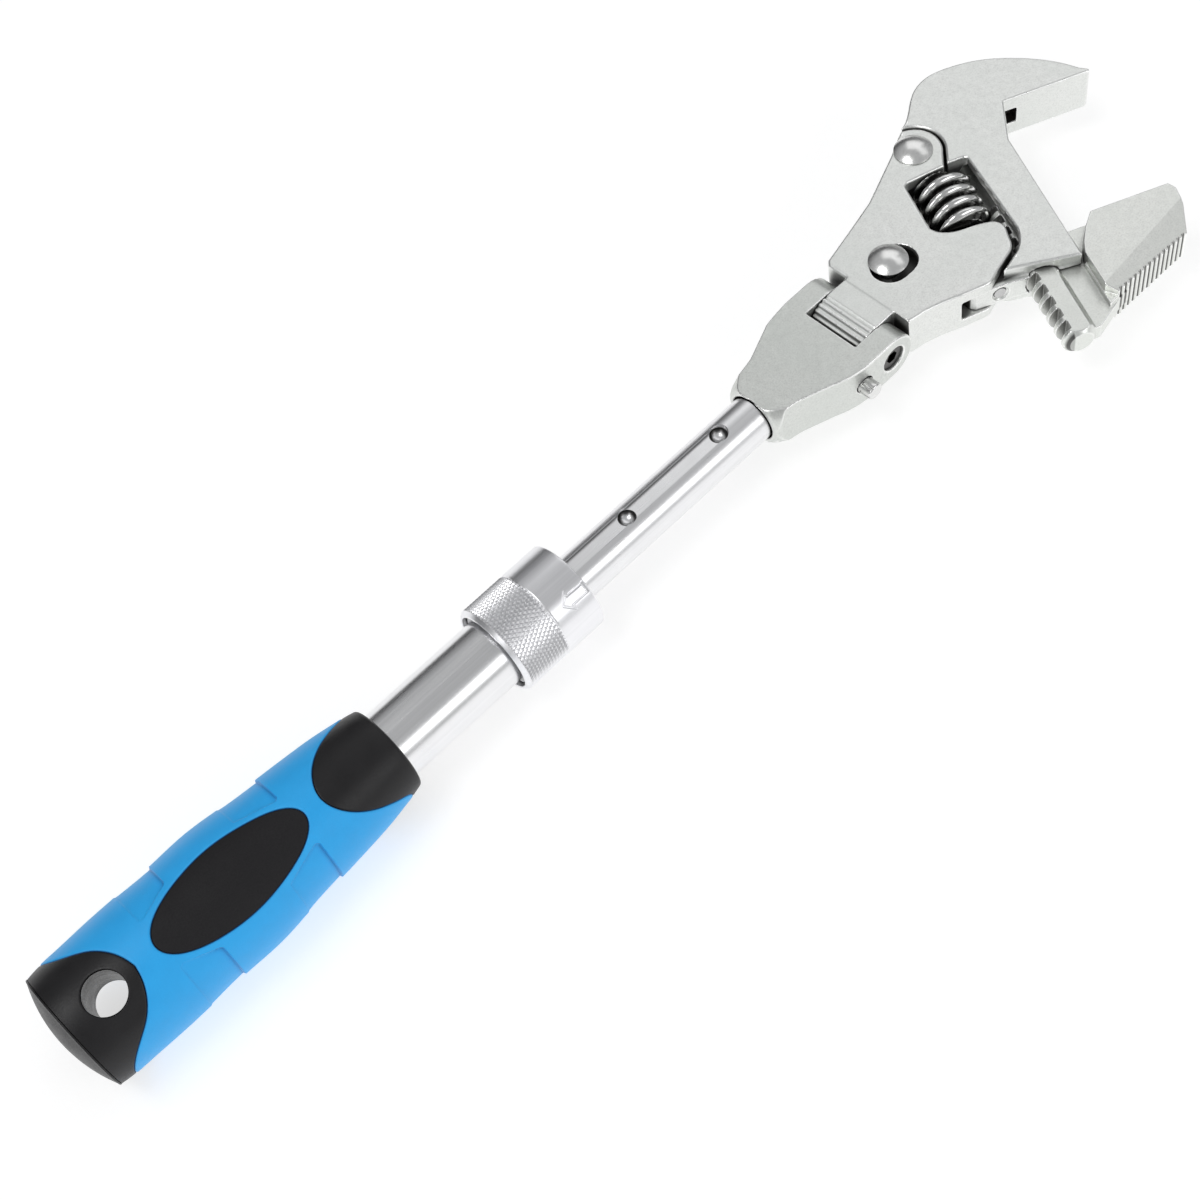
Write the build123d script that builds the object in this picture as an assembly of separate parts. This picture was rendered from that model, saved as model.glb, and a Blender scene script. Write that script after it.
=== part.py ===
from build123d import *
import os
from math import pi, cos, sin, tan, radians, degrees, atan2, sqrt, hypot

# ---------------------------------------------------------------------------
# Folding telescopic adjustable wrench with a reversible-tooth movable jaw.
# Working frame (mm): the handle axis is X, the head points to +X, the broad
# front of the head looks to +Z and the fixed upper jaw lies towards +Y.
# x = 0 is the bottom of the slot in the yoke.  At the end every piece is
# moved so that the origin is the bottom centre of the whole tool's box.
# ---------------------------------------------------------------------------

# head and yoke thickness
H = 6.4                 # half thickness of the castings
T_TONGUE = 3.0          # half thickness of the jaw body's tongue between the cheeks
T_CHEEK_GAP = 3.08      # half width of the slot between the cheeks

# jaw axes: u runs out along the jaw faces, v is the jaw travel direction
JAW_ANGLE = 25.3
CJ, SJ = cos(radians(JAW_ANGLE)), sin(radians(JAW_ANGLE))
V_UPPER = 48.6          # upper jaw face
V_LOWER = 7.1           # lower jaw face at rest, so the gap is 41.5 mm
U_SPINE = 62.5          # inner face of the spine
JAW_CLOSE = 41.2        # closing travel (0.3 mm left between the faces)
JAW_OPEN = 1.5          # extra opening travel

# swing pivot (dome-headed rivet) and limit stud
PIV = (54.6, 22.2)
STUD = (24.2, 3.4)
SWING_MAX = 7.0
R_LOBE, R_LOBE_GAP = 7.4, 8.0
R_PIN = 2.5
DOME_R, DOME_H = 4.9, 2.0
SLOT_C, SLOT_HALF, SLOT_R = (24.6, 1.9), 1.4, 4.8

# worm and rack
RACK_PITCH = 4.0
U_WORM, U_BAR = 42.5, 53.4
R_WORM, R_WORM_CORE = 7.85, 5.7
V_WORM0, V_WORM1 = 17.6, 33.9
R_WPIN = 1.5
R_BAR, BAR_CLEAR = 4.4, 0.08
V_BAR0, V_BAR1 = -23.6, 21.4
V_BORE_TOP = V_BAR1 + JAW_CLOSE + 0.25
WEB_T, SLOT_T = 2.2, 2.3       # half thickness of the web and half width of its slot

# fold hinge and its lock pin
X_FOLD = 6.7
R_KNUCKLE = 6.3
W_SLOT = 7.9            # half width of the yoke slot
W_KNUCKLE = 7.78
W_YOKE = 13.9
X_LOCK = -3.3
LOCK_TRAVEL = 3.0
N_TEETH = 24

# rod, tube and collar
R_ROD = 5.9
GROOVE_W, GROOVE_Z = 2.0, 4.75
X_DIMPLES = (-38.3, -68.3, -98.3)
R_TUBE = 8.6
R_TUBE_GUIDE = 5.96
R_TUBE_IN = 6.7
X_TUBE0, X_TUBE1 = -213.0, -93.4
X_GUIDE_END = -120.8
R_COLLAR = 11.5
X_COL0, X_COL1 = -111.5, -87.9
X_BALL, R_BALL, Z_BALL = -98.3, 1.9, 6.7
COLLAR_TRAVEL = 4.0
BALL_LIFT = 1.0
ROD_TRAVEL = 60.0

# grip
ROLL = 22.5             # grip pads and hang hole are rolled about X
X_NOSE, X_RIM, X_END = -143.0, -230.9, -234.6
X_HANG, R_HANG = -221.3, 4.75
# (x, radius) of the grip outside
GRIP = [(-230.9, 14.7), (-228.5, 15.0), (-223.0, 15.1), (-217.0, 15.3), (-211.0, 15.35),
        (-203.0, 15.2), (-195.0, 15.4), (-186.5, 15.55), (-182.0, 15.0), (-178.0, 14.5),
        (-169.6, 14.1), (-161.0, 13.45), (-154.0, 12.75), (-148.0, 11.8), (-145.0, 11.2)]
PAD_X, PAD_LX, PAD_HALF = -187.8, 20.1, 32.0


def uv(u, v):
    return (u * CJ + v * SJ, -u * SJ + v * CJ)


def uvs(pts):
    return [uv(*p) for p in pts]


def poly(pts):
    return make_face(Polyline([(p[0], p[1]) for p in pts], close=True))


def slab(face, z0, z1):
    return extrude(Pos(0, 0, z0) * face, amount=z1 - z0)


def zcyl(x, y, r, z0, z1):
    return Pos(x, y, (z0 + z1) / 2) * Cylinder(r, z1 - z0)


def xcyl(r, x0, x1, y=0.0, z=0.0):
    return Pos((x0 + x1) / 2, y, z) * (Rot(0, 90, 0) * Cylinder(r, x1 - x0))


def ycyl(r, y0, y1, x=0.0, z=0.0):
    return Pos(x, (y0 + y1) / 2, z) * (Rot(90, 0, 0) * Cylinder(r, y1 - y0))


def vcyl(r, v0, v1, u):
    """cylinder whose axis is the jaw travel direction v, at u, z = 0"""
    a, b = uv(u, v0), uv(u, v1)
    pl = Plane(origin=(a[0], a[1], 0), x_dir=(CJ, -SJ, 0), z_dir=(SJ, CJ, 0))
    return pl * (Pos(0, 0, (v1 - v0) / 2) * Cylinder(r, v1 - v0))


def revolve_x(pts):
    """solid of revolution about X from (x, r) points that start and end on the axis or close a ring"""
    f = make_face(Polyline([(p[0], p[1]) for p in pts], close=True))
    return revolve(f, axis=Axis.X, revolution_arc=360)


def loop(start, *segs):
    """closed face from straight, three-point-arc and spline pieces"""
    edges = []
    p = start
    for s in segs:
        if s[0] == "L":
            for q in s[1:]:
                edges.append(Line(p, q))
                p = q
        elif s[0] == "A":
            edges.append(ThreePointArc(p, s[1], s[2]))
            p = s[2]
        elif s[0] == "S":
            pts = [p] + list(s[1])
            edges.append(Spline(pts))
            p = pts[-1]
    if hypot(p[0] - start[0], p[1] - start[1]) > 1e-6:
        edges.append(Line(p, start))
    return make_face(edges)


def polar(c, r, deg):
    return (c[0] + r * cos(radians(deg)), c[1] + r * sin(radians(deg)))


def soften(solid, edges, sizes, kind="fillet"):
    """round a set of edges with the largest size that the shape takes"""
    for s in sizes:
        try:
            out = fillet(edges, s) if kind == "fillet" else chamfer(edges, s)
            if out.is_valid and out.volume > 0.5 * solid.volume:
                return out
        except Exception:
            continue
    return solid


def coil(r_mean, wire, pitch, length, pl):
    """helical wire along the plane's normal"""
    h = Helix(pitch=pitch, height=length, radius=r_mean)
    prof = Plane(origin=h @ 0, z_dir=h % 0) * Circle(wire / 2)
    return pl * sweep(prof, path=h, is_frenet=True)


def dome(x, y, z, sgn, r=DOME_R, h=DOME_H, edge=0.35):
    """low dome head, flat side at z, rising along sgn"""
    R = (r * r + (h - edge) ** 2) / (2 * (h - edge))
    f = loop((0, 0), ("L", (r, 0), (r, edge)), ("A", (r * 0.52, edge + sqrt(R * R - (r * 0.52) ** 2) - (R - (h - edge))), (0, h)))
    d = revolve(Plane.XZ * f, axis=Axis.Z)
    if sgn < 0:
        d = Rot(180, 0, 0) * d
    return Pos(x, y, z) * d


parts = {}

# --------------------------------------------------------------------------- yoke
yoke_face = loop((-27.4, -6.7),
                 ("S", [(-27.05, -7.55), (-26.2, -8.0), (-25.0, -7.95), (-23.6, -7.7)]),
                 ("L", (-20.0, -8.4), (-11.2, -11.55)),
                 ("S", [(-7.0, -13.1), (-2.0, -13.9)]),
                 ("L", (13.6, -13.9), (13.6, 13.9), (-0.5, 13.9)),
                 ("S", [(-4.5, 13.5), (-8.4, 12.9)]),
                 ("L", (-18.4, 8.75), (-23.6, 7.7)),
                 ("S", [(-25.0, 7.95), (-26.2, 8.0), (-27.05, 7.55), (-27.4, 6.7)]))
yoke = slab(yoke_face, -H, H)
# the two lugs end in a full round about the fold axis
side = loop((-40, -H), ("L", (X_FOLD, -H)), ("A", (X_FOLD + H, 0), (X_FOLD, H)), ("L", (-40, H)))
yoke = yoke & extrude(Plane.XZ * side, amount=20, both=True)
# rear end is nearly round, with a countersunk mouth around the rod
rear_round = revolve_x([(-27.4, 0), (-27.4, 6.9), (-27.15, 7.5), (-26.6, 8.05), (-25.8, 8.6), (-24.5, 9.3), (-10, 17.5), (20, 24), (20, 0)])
yoke = yoke & rear_round
yoke = soften(yoke, [e for e in yoke.edges() if abs(e.center().Z) > H - 0.05 and e.length > 4], [0.6, 0.45, 0.3])
yoke -= Pos(12.0, 0, 0) * Box(24, 2 * W_SLOT, 30)
yoke -= xcyl(R_ROD - 0.4, -28, -7.5)
yoke -= revolve_x([(-27.45, 0), (-27.45, 6.3), (-26.3, 5.95), (-26.1, 5.5), (-26.1, 0)])
yoke -= ycyl(2.3, -20, 12.2, X_FOLD)                     # fold screw
yoke -= ycyl(3.4, -20, -11.0, X_FOLD)                    # its counterbore
yoke -= ycyl(3.52, 4.5, 20, X_LOCK)                      # lock pin bore from the far side
yoke -= ycyl(2.3, -20, 5, X_LOCK)                        # button hole
yoke -= Pos(3.6, -14.3, -3.0) * Sphere(0.75)             # stake mark beside the screw
parts["yoke"] = yoke

# --------------------------------------------------------------------------- rod
rod = revolve_x([(-7.6, 0), (-7.6, R_ROD - 0.45), (-24.7, R_ROD - 0.45), (-26.2, R_ROD - 0.45), (-27.42, R_ROD), (-120.9, R_ROD), (-120.9, 4.2), (-127.2, 4.2), (-127.2, 0)])
groove = Pos(-79.6, 0, GROOVE_Z + 3) * Box(82.6, 2 * GROOVE_W, 6)
rod -= groove
for xd in X_DIMPLES:
    rod -= Pos(xd, 0, 5.75) * Sphere(2.4)
rod -= xcyl(1.65, -128, -119.0)
parts["rod"] = rod
bush = xcyl(6.58, -127.0, -121.0) - xcyl(4.2, -127.5, -120.5)
parts["rod_stop_bush"] = bush
screw = xcyl(1.65, -127.2, -119.4) + revolve_x([(-127.2, 0), (-127.2, 4.9), (-128.2, 4.9), (-129.4, 3.6), (-129.6, 0)])
screw -= Pos(-129.6, 0, 0) * (Rot(0, 90, 0) * extrude(RegularPolygon(1.5, 6), amount=1.3, both=True))
parts["rod_end_screw"] = screw

# --------------------------------------------------------------------------- tube
tube = revolve_x([(X_TUBE0, R_TUBE_IN), (X_TUBE0, R_TUBE), (-110.4, R_TUBE), (-110.4, 8.1), (-109.5, 8.1), (-109.5, R_TUBE),
                  (-95.1, R_TUBE), (-95.1, 8.1), (-94.3, 8.1), (-94.3, R_TUBE), (-93.7, R_TUBE), (X_TUBE1, 8.3),
                  (X_TUBE1, R_TUBE_GUIDE), (X_GUIDE_END, R_TUBE_GUIDE), (X_GUIDE_END, R_TUBE_IN)])
tube -= zcyl(X_BALL, 0, R_BALL + 0.05, 3, 12)
parts["outer_tube"] = tube

# --------------------------------------------------------------------------- collar group
collar = revolve_x([(X_COL0, 10.15), (X_COL0, 10.8), (X_COL0 + 1.6, R_COLLAR), (X_COL1 - 0.9, R_COLLAR), (X_COL1, R_COLLAR - 0.9),
                    (X_COL1, 6.1), (-89.1, 6.1), (-89.1, 9.95), (-94.6, 9.95), (-98.9, 8.72), (-101.0, 8.68), (-101.0, 10.15)])
parts["lock_collar"] = collar
ringf = lambda x0, x1, r0, r1, gap: (xcyl(r1, x0, x1) - xcyl(r0, x0 - 1, x1 + 1) - Pos((x0 + x1) / 2, 0, 10) * Box(4, gap, 14))
parts["collar_stop_ring"] = ringf(-95.0, -94.4, 8.12, 9.72, 5.0)
parts["collar_rear_ring"] = Rot(150, 0, 0) * ringf(-110.3, -109.6, 8.12, 9.75, 2.4)
parts["collar_washer"] = xcyl(10.0, -109.45, -108.85) - xcyl(8.66, -110, -108)
parts["collar_spring"] = coil(9.38, 0.8, 2.05, 6.15, Plane(origin=(-108.25, 0, 0), z_dir=(1, 0, 0)))
parts["lock_ball"] = Pos(X_BALL, 0, Z_BALL) * Sphere(R_BALL)

# --------------------------------------------------------------------------- grip
outer = make_face([Spline([(x, r) for x, r in GRIP]), Line((-145.0, 11.2), (-143.4, 10.2)), Line((-143.4, 10.2), (X_NOSE, 9.6)),
                   Line((X_NOSE, 9.6), (X_NOSE, 0)), Line((X_NOSE, 0), (-230.9, 0)), Line((-230.9, 0), (-230.9, 14.7))])
grip_all = revolve(outer, axis=Axis.X)
inner = make_face([Spline([(x, r - 2.2) for x, r in GRIP]), Line((-145.0, 9.0), (-145.0, 0)), Line((-145.0, 0), (-230.9, 0)), Line((-230.9, 0), (-230.9, 12.5))])
core_skin = revolve(inner, axis=Axis.X)
# windows in the soft overmould: nose, two oval pads, butt
hang_axis = Rot(ROLL, 0, 0)


def blade(face, side):
    """cut tool: a plan outline drawn in the rolled XY plane, raised on one side only"""
    return hang_axis * extrude(Pos(0, 0, 0.0) * face, amount=side * 20)


def nose_limit(s):
    return loop((-140, -16), ("L", (-140, 16), (-147.5, 16)),
                ("S", [(-150.0, 12.0), (-155.5, 8.2), (-161.5, 3.0), (-162.4, 0), (-161.5, -3.0), (-155.5, -8.2), (-150.0, -12.0), (-147.5, -16)]))


def butt_limit(s):
    return loop((-232, -16), ("L", (-232, 16), (-228.0, 16)),
                ("S", [(-225.0, 14.4), (-219.5, 10.8), (-214.6, 5.0), (-213.1, 0), (-214.6, -5.0), (-219.5, -10.8), (-225.0, -14.4), (-228.0, -16)]))


pad = Pos(PAD_X, 0, 0) * Ellipse(PAD_LX, 15.2 * sin(radians(PAD_HALF)))
solidz = grip_all - core_skin
keep = None
for sgn in (1, -1):
    for fc in (nose_limit(sgn), butt_limit(sgn), pad):
        b = blade(fc, sgn)
        keep = b if keep is None else keep + b
overmould = solidz - keep
overmould = max(overmould.solids(), key=lambda s: s.volume)
core = grip_all - overmould
core = max(core.solids(), key=lambda s: s.volume)
bore_hang = hang_axis * zcyl(X_HANG, 0, R_HANG, -25, 25)
core = core - xcyl(R_TUBE, X_TUBE0, -140) - bore_hang
core -= xcyl(7.5, -232, -227.5)
overmould = overmould - bore_hang
core = max(core.solids(), key=lambda s: s.volume)
overmould = max(overmould.solids(), key=lambda s: s.volume)
parts["grip_core"] = core
parts["grip_overmould"] = overmould
R_CAP = (14.6 ** 2 + (-231.5 - X_END) ** 2) / (2 * (-231.5 - X_END))
cap_face = make_face([Line((-227.6, 0), (-227.6, 7.5)), Line((-227.6, 7.5), (-230.9, 7.5)), Line((-230.9, 7.5), (-230.9, 14.6)),
                      Line((-230.9, 14.6), (-231.5, 14.6)), ThreePointArc((-231.5, 14.6), (X_END + R_CAP - sqrt(R_CAP ** 2 - 8.2 ** 2), 8.2), (X_END, 0)), Line((X_END, 0), (-227.6, 0))])
parts["end_cap"] = revolve(cap_face, axis=Axis.X)

# --------------------------------------------------------------------------- fold hinge pieces
fold = ycyl(2.25, -11.3, 12.0, X_FOLD) + ycyl(3.3, -13.1, -11.0, X_FOLD)
fold -= Pos(X_FOLD, -13.1, 0) * (Rot(90, 0, 0) * extrude(RegularPolygon(1.75, 6), amount=1.5, both=True))
parts["fold_pivot_screw"] = fold
lp = ycyl(2.25, -17.2, 5.2, X_LOCK) + ycyl(3.45, 5.0, 8.6, X_LOCK)
lp = soften(lp, lp.edges().filter_by(GeomType.CIRCLE).sort_by(Axis.Y)[:1], [0.6, 0.4])
lp -= ycyl(1.6, 7.4, 9.0, X_LOCK)
for a in range(0, 360, 60):   # flutes on the button end
    lp -= Pos(X_LOCK, -16.0, 0) * (Rot(0, a, 0) * (Pos(2.55, 0, 0) * (Rot(90, 0, 0) * Cylinder(0.55, 4.0))))
parts["lock_pin"] = lp
parts["lock_pin_spring"] = coil(2.5, 0.55, 0.95, 1.9, Plane(origin=(X_LOCK, 9.0, 0), z_dir=(0, 1, 0)))
plug = ycyl(3.5, 11.6, 13.2, X_LOCK)
plug -= Pos(X_LOCK, 13.2, 0) * Box(8, 1.2, 0.9)
parts["lock_pin_plug"] = plug

# --------------------------------------------------------------------------- head body (clevis)
P = PIV
head_face = loop((14.1, 7.9), ("L", (14.1, 13.7), (15.3, 14.9)),
                 ("S", [(26.0, 17.35), (35.3, 19.6)]),
                 ("L", (49.9, 25.45)),
                 ("L", (55.4, 28.1), polar(P, R_LOBE, 66)),
                 ("A", polar(P, R_LOBE, 5), polar(P, R_LOBE, -52)),
                 ("L", uv(44.7, 35.5), uv(34.4, 34.3), uv(33.6, 33.5), uv(33.6, 18.6), uv(34.6, 17.2)),
                 ("S", [uv(37.6, 15.6), uv(42.0, 15.1), uv(46.6, 14.7)]),
                 ("A", uv(49.1, 13.5), uv(49.95, 10.9)),
                 ("L", uv(49.4, 7.6)),
                 ("S", [uv(48.8, 5.2), uv(47.3, 3.5)]),
                 ("L", uv(43.3, 0.3), uv(40.5, -2.2)),
                 ("A", uv(39.5, -2.95), uv(38.2, -3.25)),
                 ("L", (27.5, -17.1)),
                 ("S", [(22.5, -14.9), (18.0, -13.4)]),
                 ("L", (14.6, -12.8), (13.5, -12.5), (13.5, -7.9), (13.5, 7.9)))
head = slab(head_face, -H, H)
head = soften(head, [e for e in head.edges() if abs(abs(e.center().Z) - H) < 0.01 and e.center().X > 13.6], [0.7, 0.5, 0.35])
knuckle_side = loop((X_FOLD, -R_KNUCKLE), ("L", (14.6, -R_KNUCKLE), (14.6, R_KNUCKLE), (X_FOLD, R_KNUCKLE)), ("A", (X_FOLD - R_KNUCKLE, 0), (X_FOLD, -R_KNUCKLE)))
knuckle = extrude(Plane.XZ * knuckle_side, amount=W_KNUCKLE, both=True)
for i in range(-6, 7):
    a = radians(180 + i * 360 / N_TEETH)
    gx, gz = X_FOLD + (R_KNUCKLE + 0.12) * cos(a), (R_KNUCKLE + 0.12) * sin(a)
    knuckle -= Pos(gx, 0, gz) * (Rot(0, -degrees(a) + 45, 0) * Box(0.95, 40, 0.95))
head += knuckle
pocket = poly(uvs([(13.6, 16.8), (24.0, 30.6), (30.5, 37.2), (33.5, 46.0), (33.0, 60), (80, 60), (80, -30), (33.2, -30),
                   (32.0, -4.6), (32.0, -1.4), (14.6, 8.6)]))
head -= slab(pocket, -T_CHEEK_GAP, T_CHEEK_GAP)
sx, sy = SLOT_C
slot = Pos(sx, sy, 0) * SlotCenterToCenter(2 * SLOT_HALF, 2 * SLOT_R)
head -= slab(slot, -10, 10)
head -= zcyl(P[0], P[1], R_PIN, -10, 10)
head -= ycyl(2.3, -20, 20, X_FOLD)
head = max(head.solids(), key=lambda s: s.volume)
parts["head_body"] = head

rivet = zcyl(P[0], P[1], R_PIN, -H, H) + dome(P[0], P[1], H, 1) + dome(P[0], P[1], -H, -1)
parts["pivot_rivet"] = rivet
stud = zcyl(STUD[0], STUD[1], R_PIN - 0.05, -H - 0.2, H + 0.2) + dome(STUD[0], STUD[1], H + 0.15, 1) + dome(STUD[0], STUD[1], -H - 0.15, -1)
parts["limit_stud"] = stud

# --------------------------------------------------------------------------- jaw body
front = loop(uv(U_SPINE, -4.2),
             ("L", uv(U_SPINE, 36.6), uv(66.6, V_UPPER), uv(89.5, V_UPPER)),
             ("A", uv(90.05, V_UPPER + 0.3), uv(90.25, V_UPPER + 0.9)),
             ("L", (101.6, 8.3)),
             ("S", [(99.2, 15.3), (94.1, 23.6), (88.0, 30.1), (81.4, 34.3), (75.8, 36.25), (70.3, 35.75), (65.6, 33.3), (60.3, 30.1), (58.05, 29.45)]),
             ("A", polar(P, R_LOBE_GAP, 5), polar(P, R_LOBE_GAP, -43)),
             ("L", uv(45.7, 36.0), uv(50.2, 36.0), uv(50.8, 35.2), uv(52.1, 9.8)),
             ("S", [uv(51.0, 6.2), uv(49.1, 3.4)]),
             ("L", uv(43.9, -0.75)))
jb = slab(front, -H, H)
jb = soften(jb, [e for e in jb.edges() if abs(abs(e.center().Z) - H) < 0.01], [0.6, 0.45, 0.3])
tongue = loop(uv(62.0, -4.1), ("L", uv(46.6, -2.7), uv(45.8, -2.6), uv(36.4, -2.45), uv(35.0, -1.6), uv(34.2, 0.4), uv(25.6, 7.4)),
              ("L", polar(STUD, 5.7, -75)), ("A", polar(STUD, 5.7, -160), polar(STUD, 5.7, 115)),
              ("L", uv(25.1, 29.8), uv(31.5, 36.2), uv(35.2, 40.4), polar(P, 4.2, 160)),
              ("A", polar(P, 4.2, 130), polar(P, 5.9, 80)), ("L", polar(P, 7.3, 60)), ("L", polar(P, 9.5, 30)), ("L", uv(62.0, 44.0)))
jb += slab(tongue, -T_TONGUE, T_TONGUE)
window = loop(uv(33.7, 17.3), ("L", uv(34.4, 16.6), uv(50.9, 16.6), uv(50.9, 35.3), uv(50.2, 36.0), uv(34.4, 36.0), uv(33.7, 35.3)))
jb -= slab(window, -20, 20)
# rack bar bore with a coned end, and the slot for the web
jb -= vcyl(R_BAR + BAR_CLEAR, -12, V_BORE_TOP - 1.6, U_BAR)
o = uv(U_BAR, V_BORE_TOP - 1.6)
cone = Plane(origin=(o[0], o[1], 0), x_dir=(CJ, -SJ, 0), z_dir=(SJ, CJ, 0)) * (Pos(0, 0, 0.85) * Cone(R_BAR + BAR_CLEAR, 2.9, 1.7))
jb -= cone
jb -= slab(poly(uvs([(U_BAR, -12), (70.3, -12), (70.3, 52.2), (66.0, 52.2), (U_BAR, 49.9)])), -SLOT_T, SLOT_T)
jb -= vcyl(R_WPIN, -4, 38.8, U_WORM)                     # worm pin bore
jb -= vcyl(2.15, -4, -2.0, U_WORM)                       # recess round its end
jb -= zcyl(P[0], P[1], R_PIN + 0.06, -10, 10)
jb -= zcyl(STUD[0], STUD[1], R_PIN - 0.05, -10, 10)
jb -= zcyl(P[0], P[1], 4.1, T_TONGUE - 1.5, T_TONGUE + 0.01)   # recess for the return spring
# the jaw beak thins towards its tip on the back
o1 = uv(66.6, V_UPPER)
cutp = Plane(origin=(o1[0], o1[1], -H), x_dir=(CJ, -SJ, 0), z_dir=(-sin(radians(5.0)) * CJ, sin(radians(5.0)) * SJ, -cos(radians(5.0))))
jb -= (cutp * (Pos(20, 15, 5) * Box(60, 70, 10))) & slab(poly(uvs([(66.6, 40), (110, 40), (110, 80), (66.6, 80)])), -20, 0)
jb = max(jb.solids(), key=lambda s: s.volume)
parts["jaw_body"] = jb
parts["worm_pin"] = vcyl(R_WPIN, -2.15, 38.6, U_WORM)

# --------------------------------------------------------------------------- worm
wo = uv(U_WORM, 0)
WPL = Plane(origin=(wo[0], wo[1], 0), x_dir=(CJ, -SJ, 0), z_dir=(SJ, CJ, 0))
V_GAP = 24.0            # a rack gap centre and a thread crest on the rack side
helix_h = V_WORM1 - V_WORM0 + 2 * RACK_PITCH
turn0 = V_GAP - 3 * RACK_PITCH
h = Helix(pitch=RACK_PITCH, height=helix_h - helix_h % RACK_PITCH + RACK_PITCH, radius=R_WORM_CORE - 0.3)
tp = make_face(Polyline([(-0.3 + 0.0, -1.18), (R_WORM - R_WORM_CORE - 0.15, -0.72), (R_WORM - R_WORM_CORE + 0.3, -0.35),
                         (R_WORM - R_WORM_CORE + 0.3, 0.35), (R_WORM - R_WORM_CORE - 0.15, 0.72), (-0.3, 1.18)], close=True))
thread = sweep(Plane(origin=(R_WORM_CORE - 0.3, 0, 0), x_dir=(1, 0, 0), z_dir=(0, -1, 0)) * tp, path=h, is_frenet=True)
thread = WPL * (Pos(0, 0, turn0) * thread)
worm = vcyl(R_WORM_CORE, V_WORM0, V_WORM1, U_WORM) + (thread & (vcyl(R_WORM + 1, V_WORM0, V_WORM1, U_WORM)))
worm -= vcyl(R_WPIN + 0.05, V_WORM0 - 5, V_WORM1 + 5, U_WORM)
worm -= vcyl(2.6, V_WORM1 - 4.0, V_WORM1 + 5, U_WORM)    # pocket for the worm spring
worm = max(worm.solids(), key=lambda s: s.volume)
parts["worm"] = worm
ws = uv(U_WORM, V_WORM1 - 3.5)
parts["worm_spring"] = coil(2.05, 0.5, 1.25, 5.0, Plane(origin=(ws[0], ws[1], 0), z_dir=(SJ, CJ, 0)))
parts["swing_return_spring"] = coil(3.3, 0.55, 0.62, 0.8, Plane(origin=(P[0], P[1], T_TONGUE - 1.2), z_dir=(0, 0, 1)))

# --------------------------------------------------------------------------- movable jaw
block = poly(uvs([(69.9, V_LOWER), (90.2, V_LOWER), (91.2, 5.1), (90.6, 0.0), (87.9, -7.5), (65.7, -17.1), (63.25, -14.6), (63.25, -3.8), (64.5, -0.6), (66.9, 3.4)]))
mj = slab(block, -6.2, 6.2)
ra, rb, rc = uv(63.0, -14.3), uv(89.85, 1.2), uv(87.9, -7.5)
for sg in (1, -1):
    va = Vector(rb[0] - ra[0], rb[1] - ra[1], 0)
    vb = Vector(rc[0] - ra[0], rc[1] - ra[1], sg * (4.1 - 6.2))
    n = va.cross(vb)
    if n.Z * sg < 0:
        n = n * -1
    pl = Plane(origin=(ra[0], ra[1], sg * 6.2), x_dir=va, z_dir=n)
    mj -= pl * (Pos(0, 0, 10) * Box(120, 120, 20))
mj = soften(mj, [e for e in mj.edges() if abs(abs(e.center().Z) - 6.2) < 0.01], [0.4, 0.3])
tl, tr = (65.7, -17.1), (87.9, -7.5)
L = hypot(tr[0] - tl[0], tr[1] - tl[1])
du, dv = (tr[0] - tl[0]) / L, (tr[1] - tl[1]) / L
ang = degrees(atan2(dv, du)) - JAW_ANGLE
for i in range(14):
    q = 0.95 + i * 1.71
    c = uv(tl[0] + du * q, tl[1] + dv * q)
    mj -= Pos(c[0], c[1], 0) * (Rot(0, 0, ang + 45) * Box(1.15, 1.15, 20))
web = poly(uvs([(U_BAR, 6.6), (68.8, 6.6), (69.5, 5.5), (69.5, -15.2), (66.4, -16.8), (58.6, -22.6), (U_BAR, -22.6)]))
mj += slab(web, -WEB_T, WEB_T)
step = poly(uvs([(62.8, -4.9), (66.0, -4.9), (66.0, -16.6), (65.7, -17.0), (62.8, -18.7)]))
mj += slab(step, -3.6, 3.6)
bar = vcyl(R_BAR, V_BAR0, V_BAR1, U_BAR)
bar = soften(bar, bar.edges().filter_by(GeomType.CIRCLE), [1.4], "chamfer")
for sg in (1, -1):                                       # milled flats front and back
    bar -= slab(poly(uvs([(U_BAR - 6, V_BAR0 - 1), (U_BAR + 6, V_BAR0 - 1), (U_BAR + 6, V_BAR1 + 1), (U_BAR - 6, V_BAR1 + 1)])), min(sg * 3.7, sg * 8), max(sg * 3.7, sg * 8))
vg = V_GAP - 16 * RACK_PITCH
while vg < V_BAR1 + 3:
    if vg > V_BAR0 + 2.2:
        bar -= slab(poly(uvs([(U_BAR - R_BAR - 1, vg - 1.5), (U_BAR - R_BAR + 2.5, vg - 1.15), (U_BAR - R_BAR + 2.5, vg + 1.15), (U_BAR - R_BAR - 1, vg + 1.5)])), -8, 8)
    vg += RACK_PITCH
mj += bar
mj = max(mj.solids(), key=lambda s: s.volume)
parts["movable_jaw"] = mj

# --------------------------------------------------------------------------- place and write
box = Compound(children=[Compound(p.solids()) for p in parts.values()]).bounding_box()
ORIGIN = (round((box.min.X + box.max.X) / 2, 3), round((box.min.Y + box.max.Y) / 2, 3), round(box.min.Z, 3))
SIZE = (box.size.X, box.size.Y, box.size.Z)


def place(shape):
    return Pos(-ORIGIN[0], -ORIGIN[1], -ORIGIN[2]) * shape


os.makedirs("parts", exist_ok=True)
for name, shape in parts.items():
    s = shape.solids()
    moved = place(s[0] if len(s) == 1 else Compound(s))
    export_step(moved, "parts/" + name + ".step")
print("origin", ORIGIN, "size", SIZE, "nodes", len(parts))
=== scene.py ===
import bpy, math
import numpy as np
from mathutils import Matrix, Vector, geometry


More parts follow.
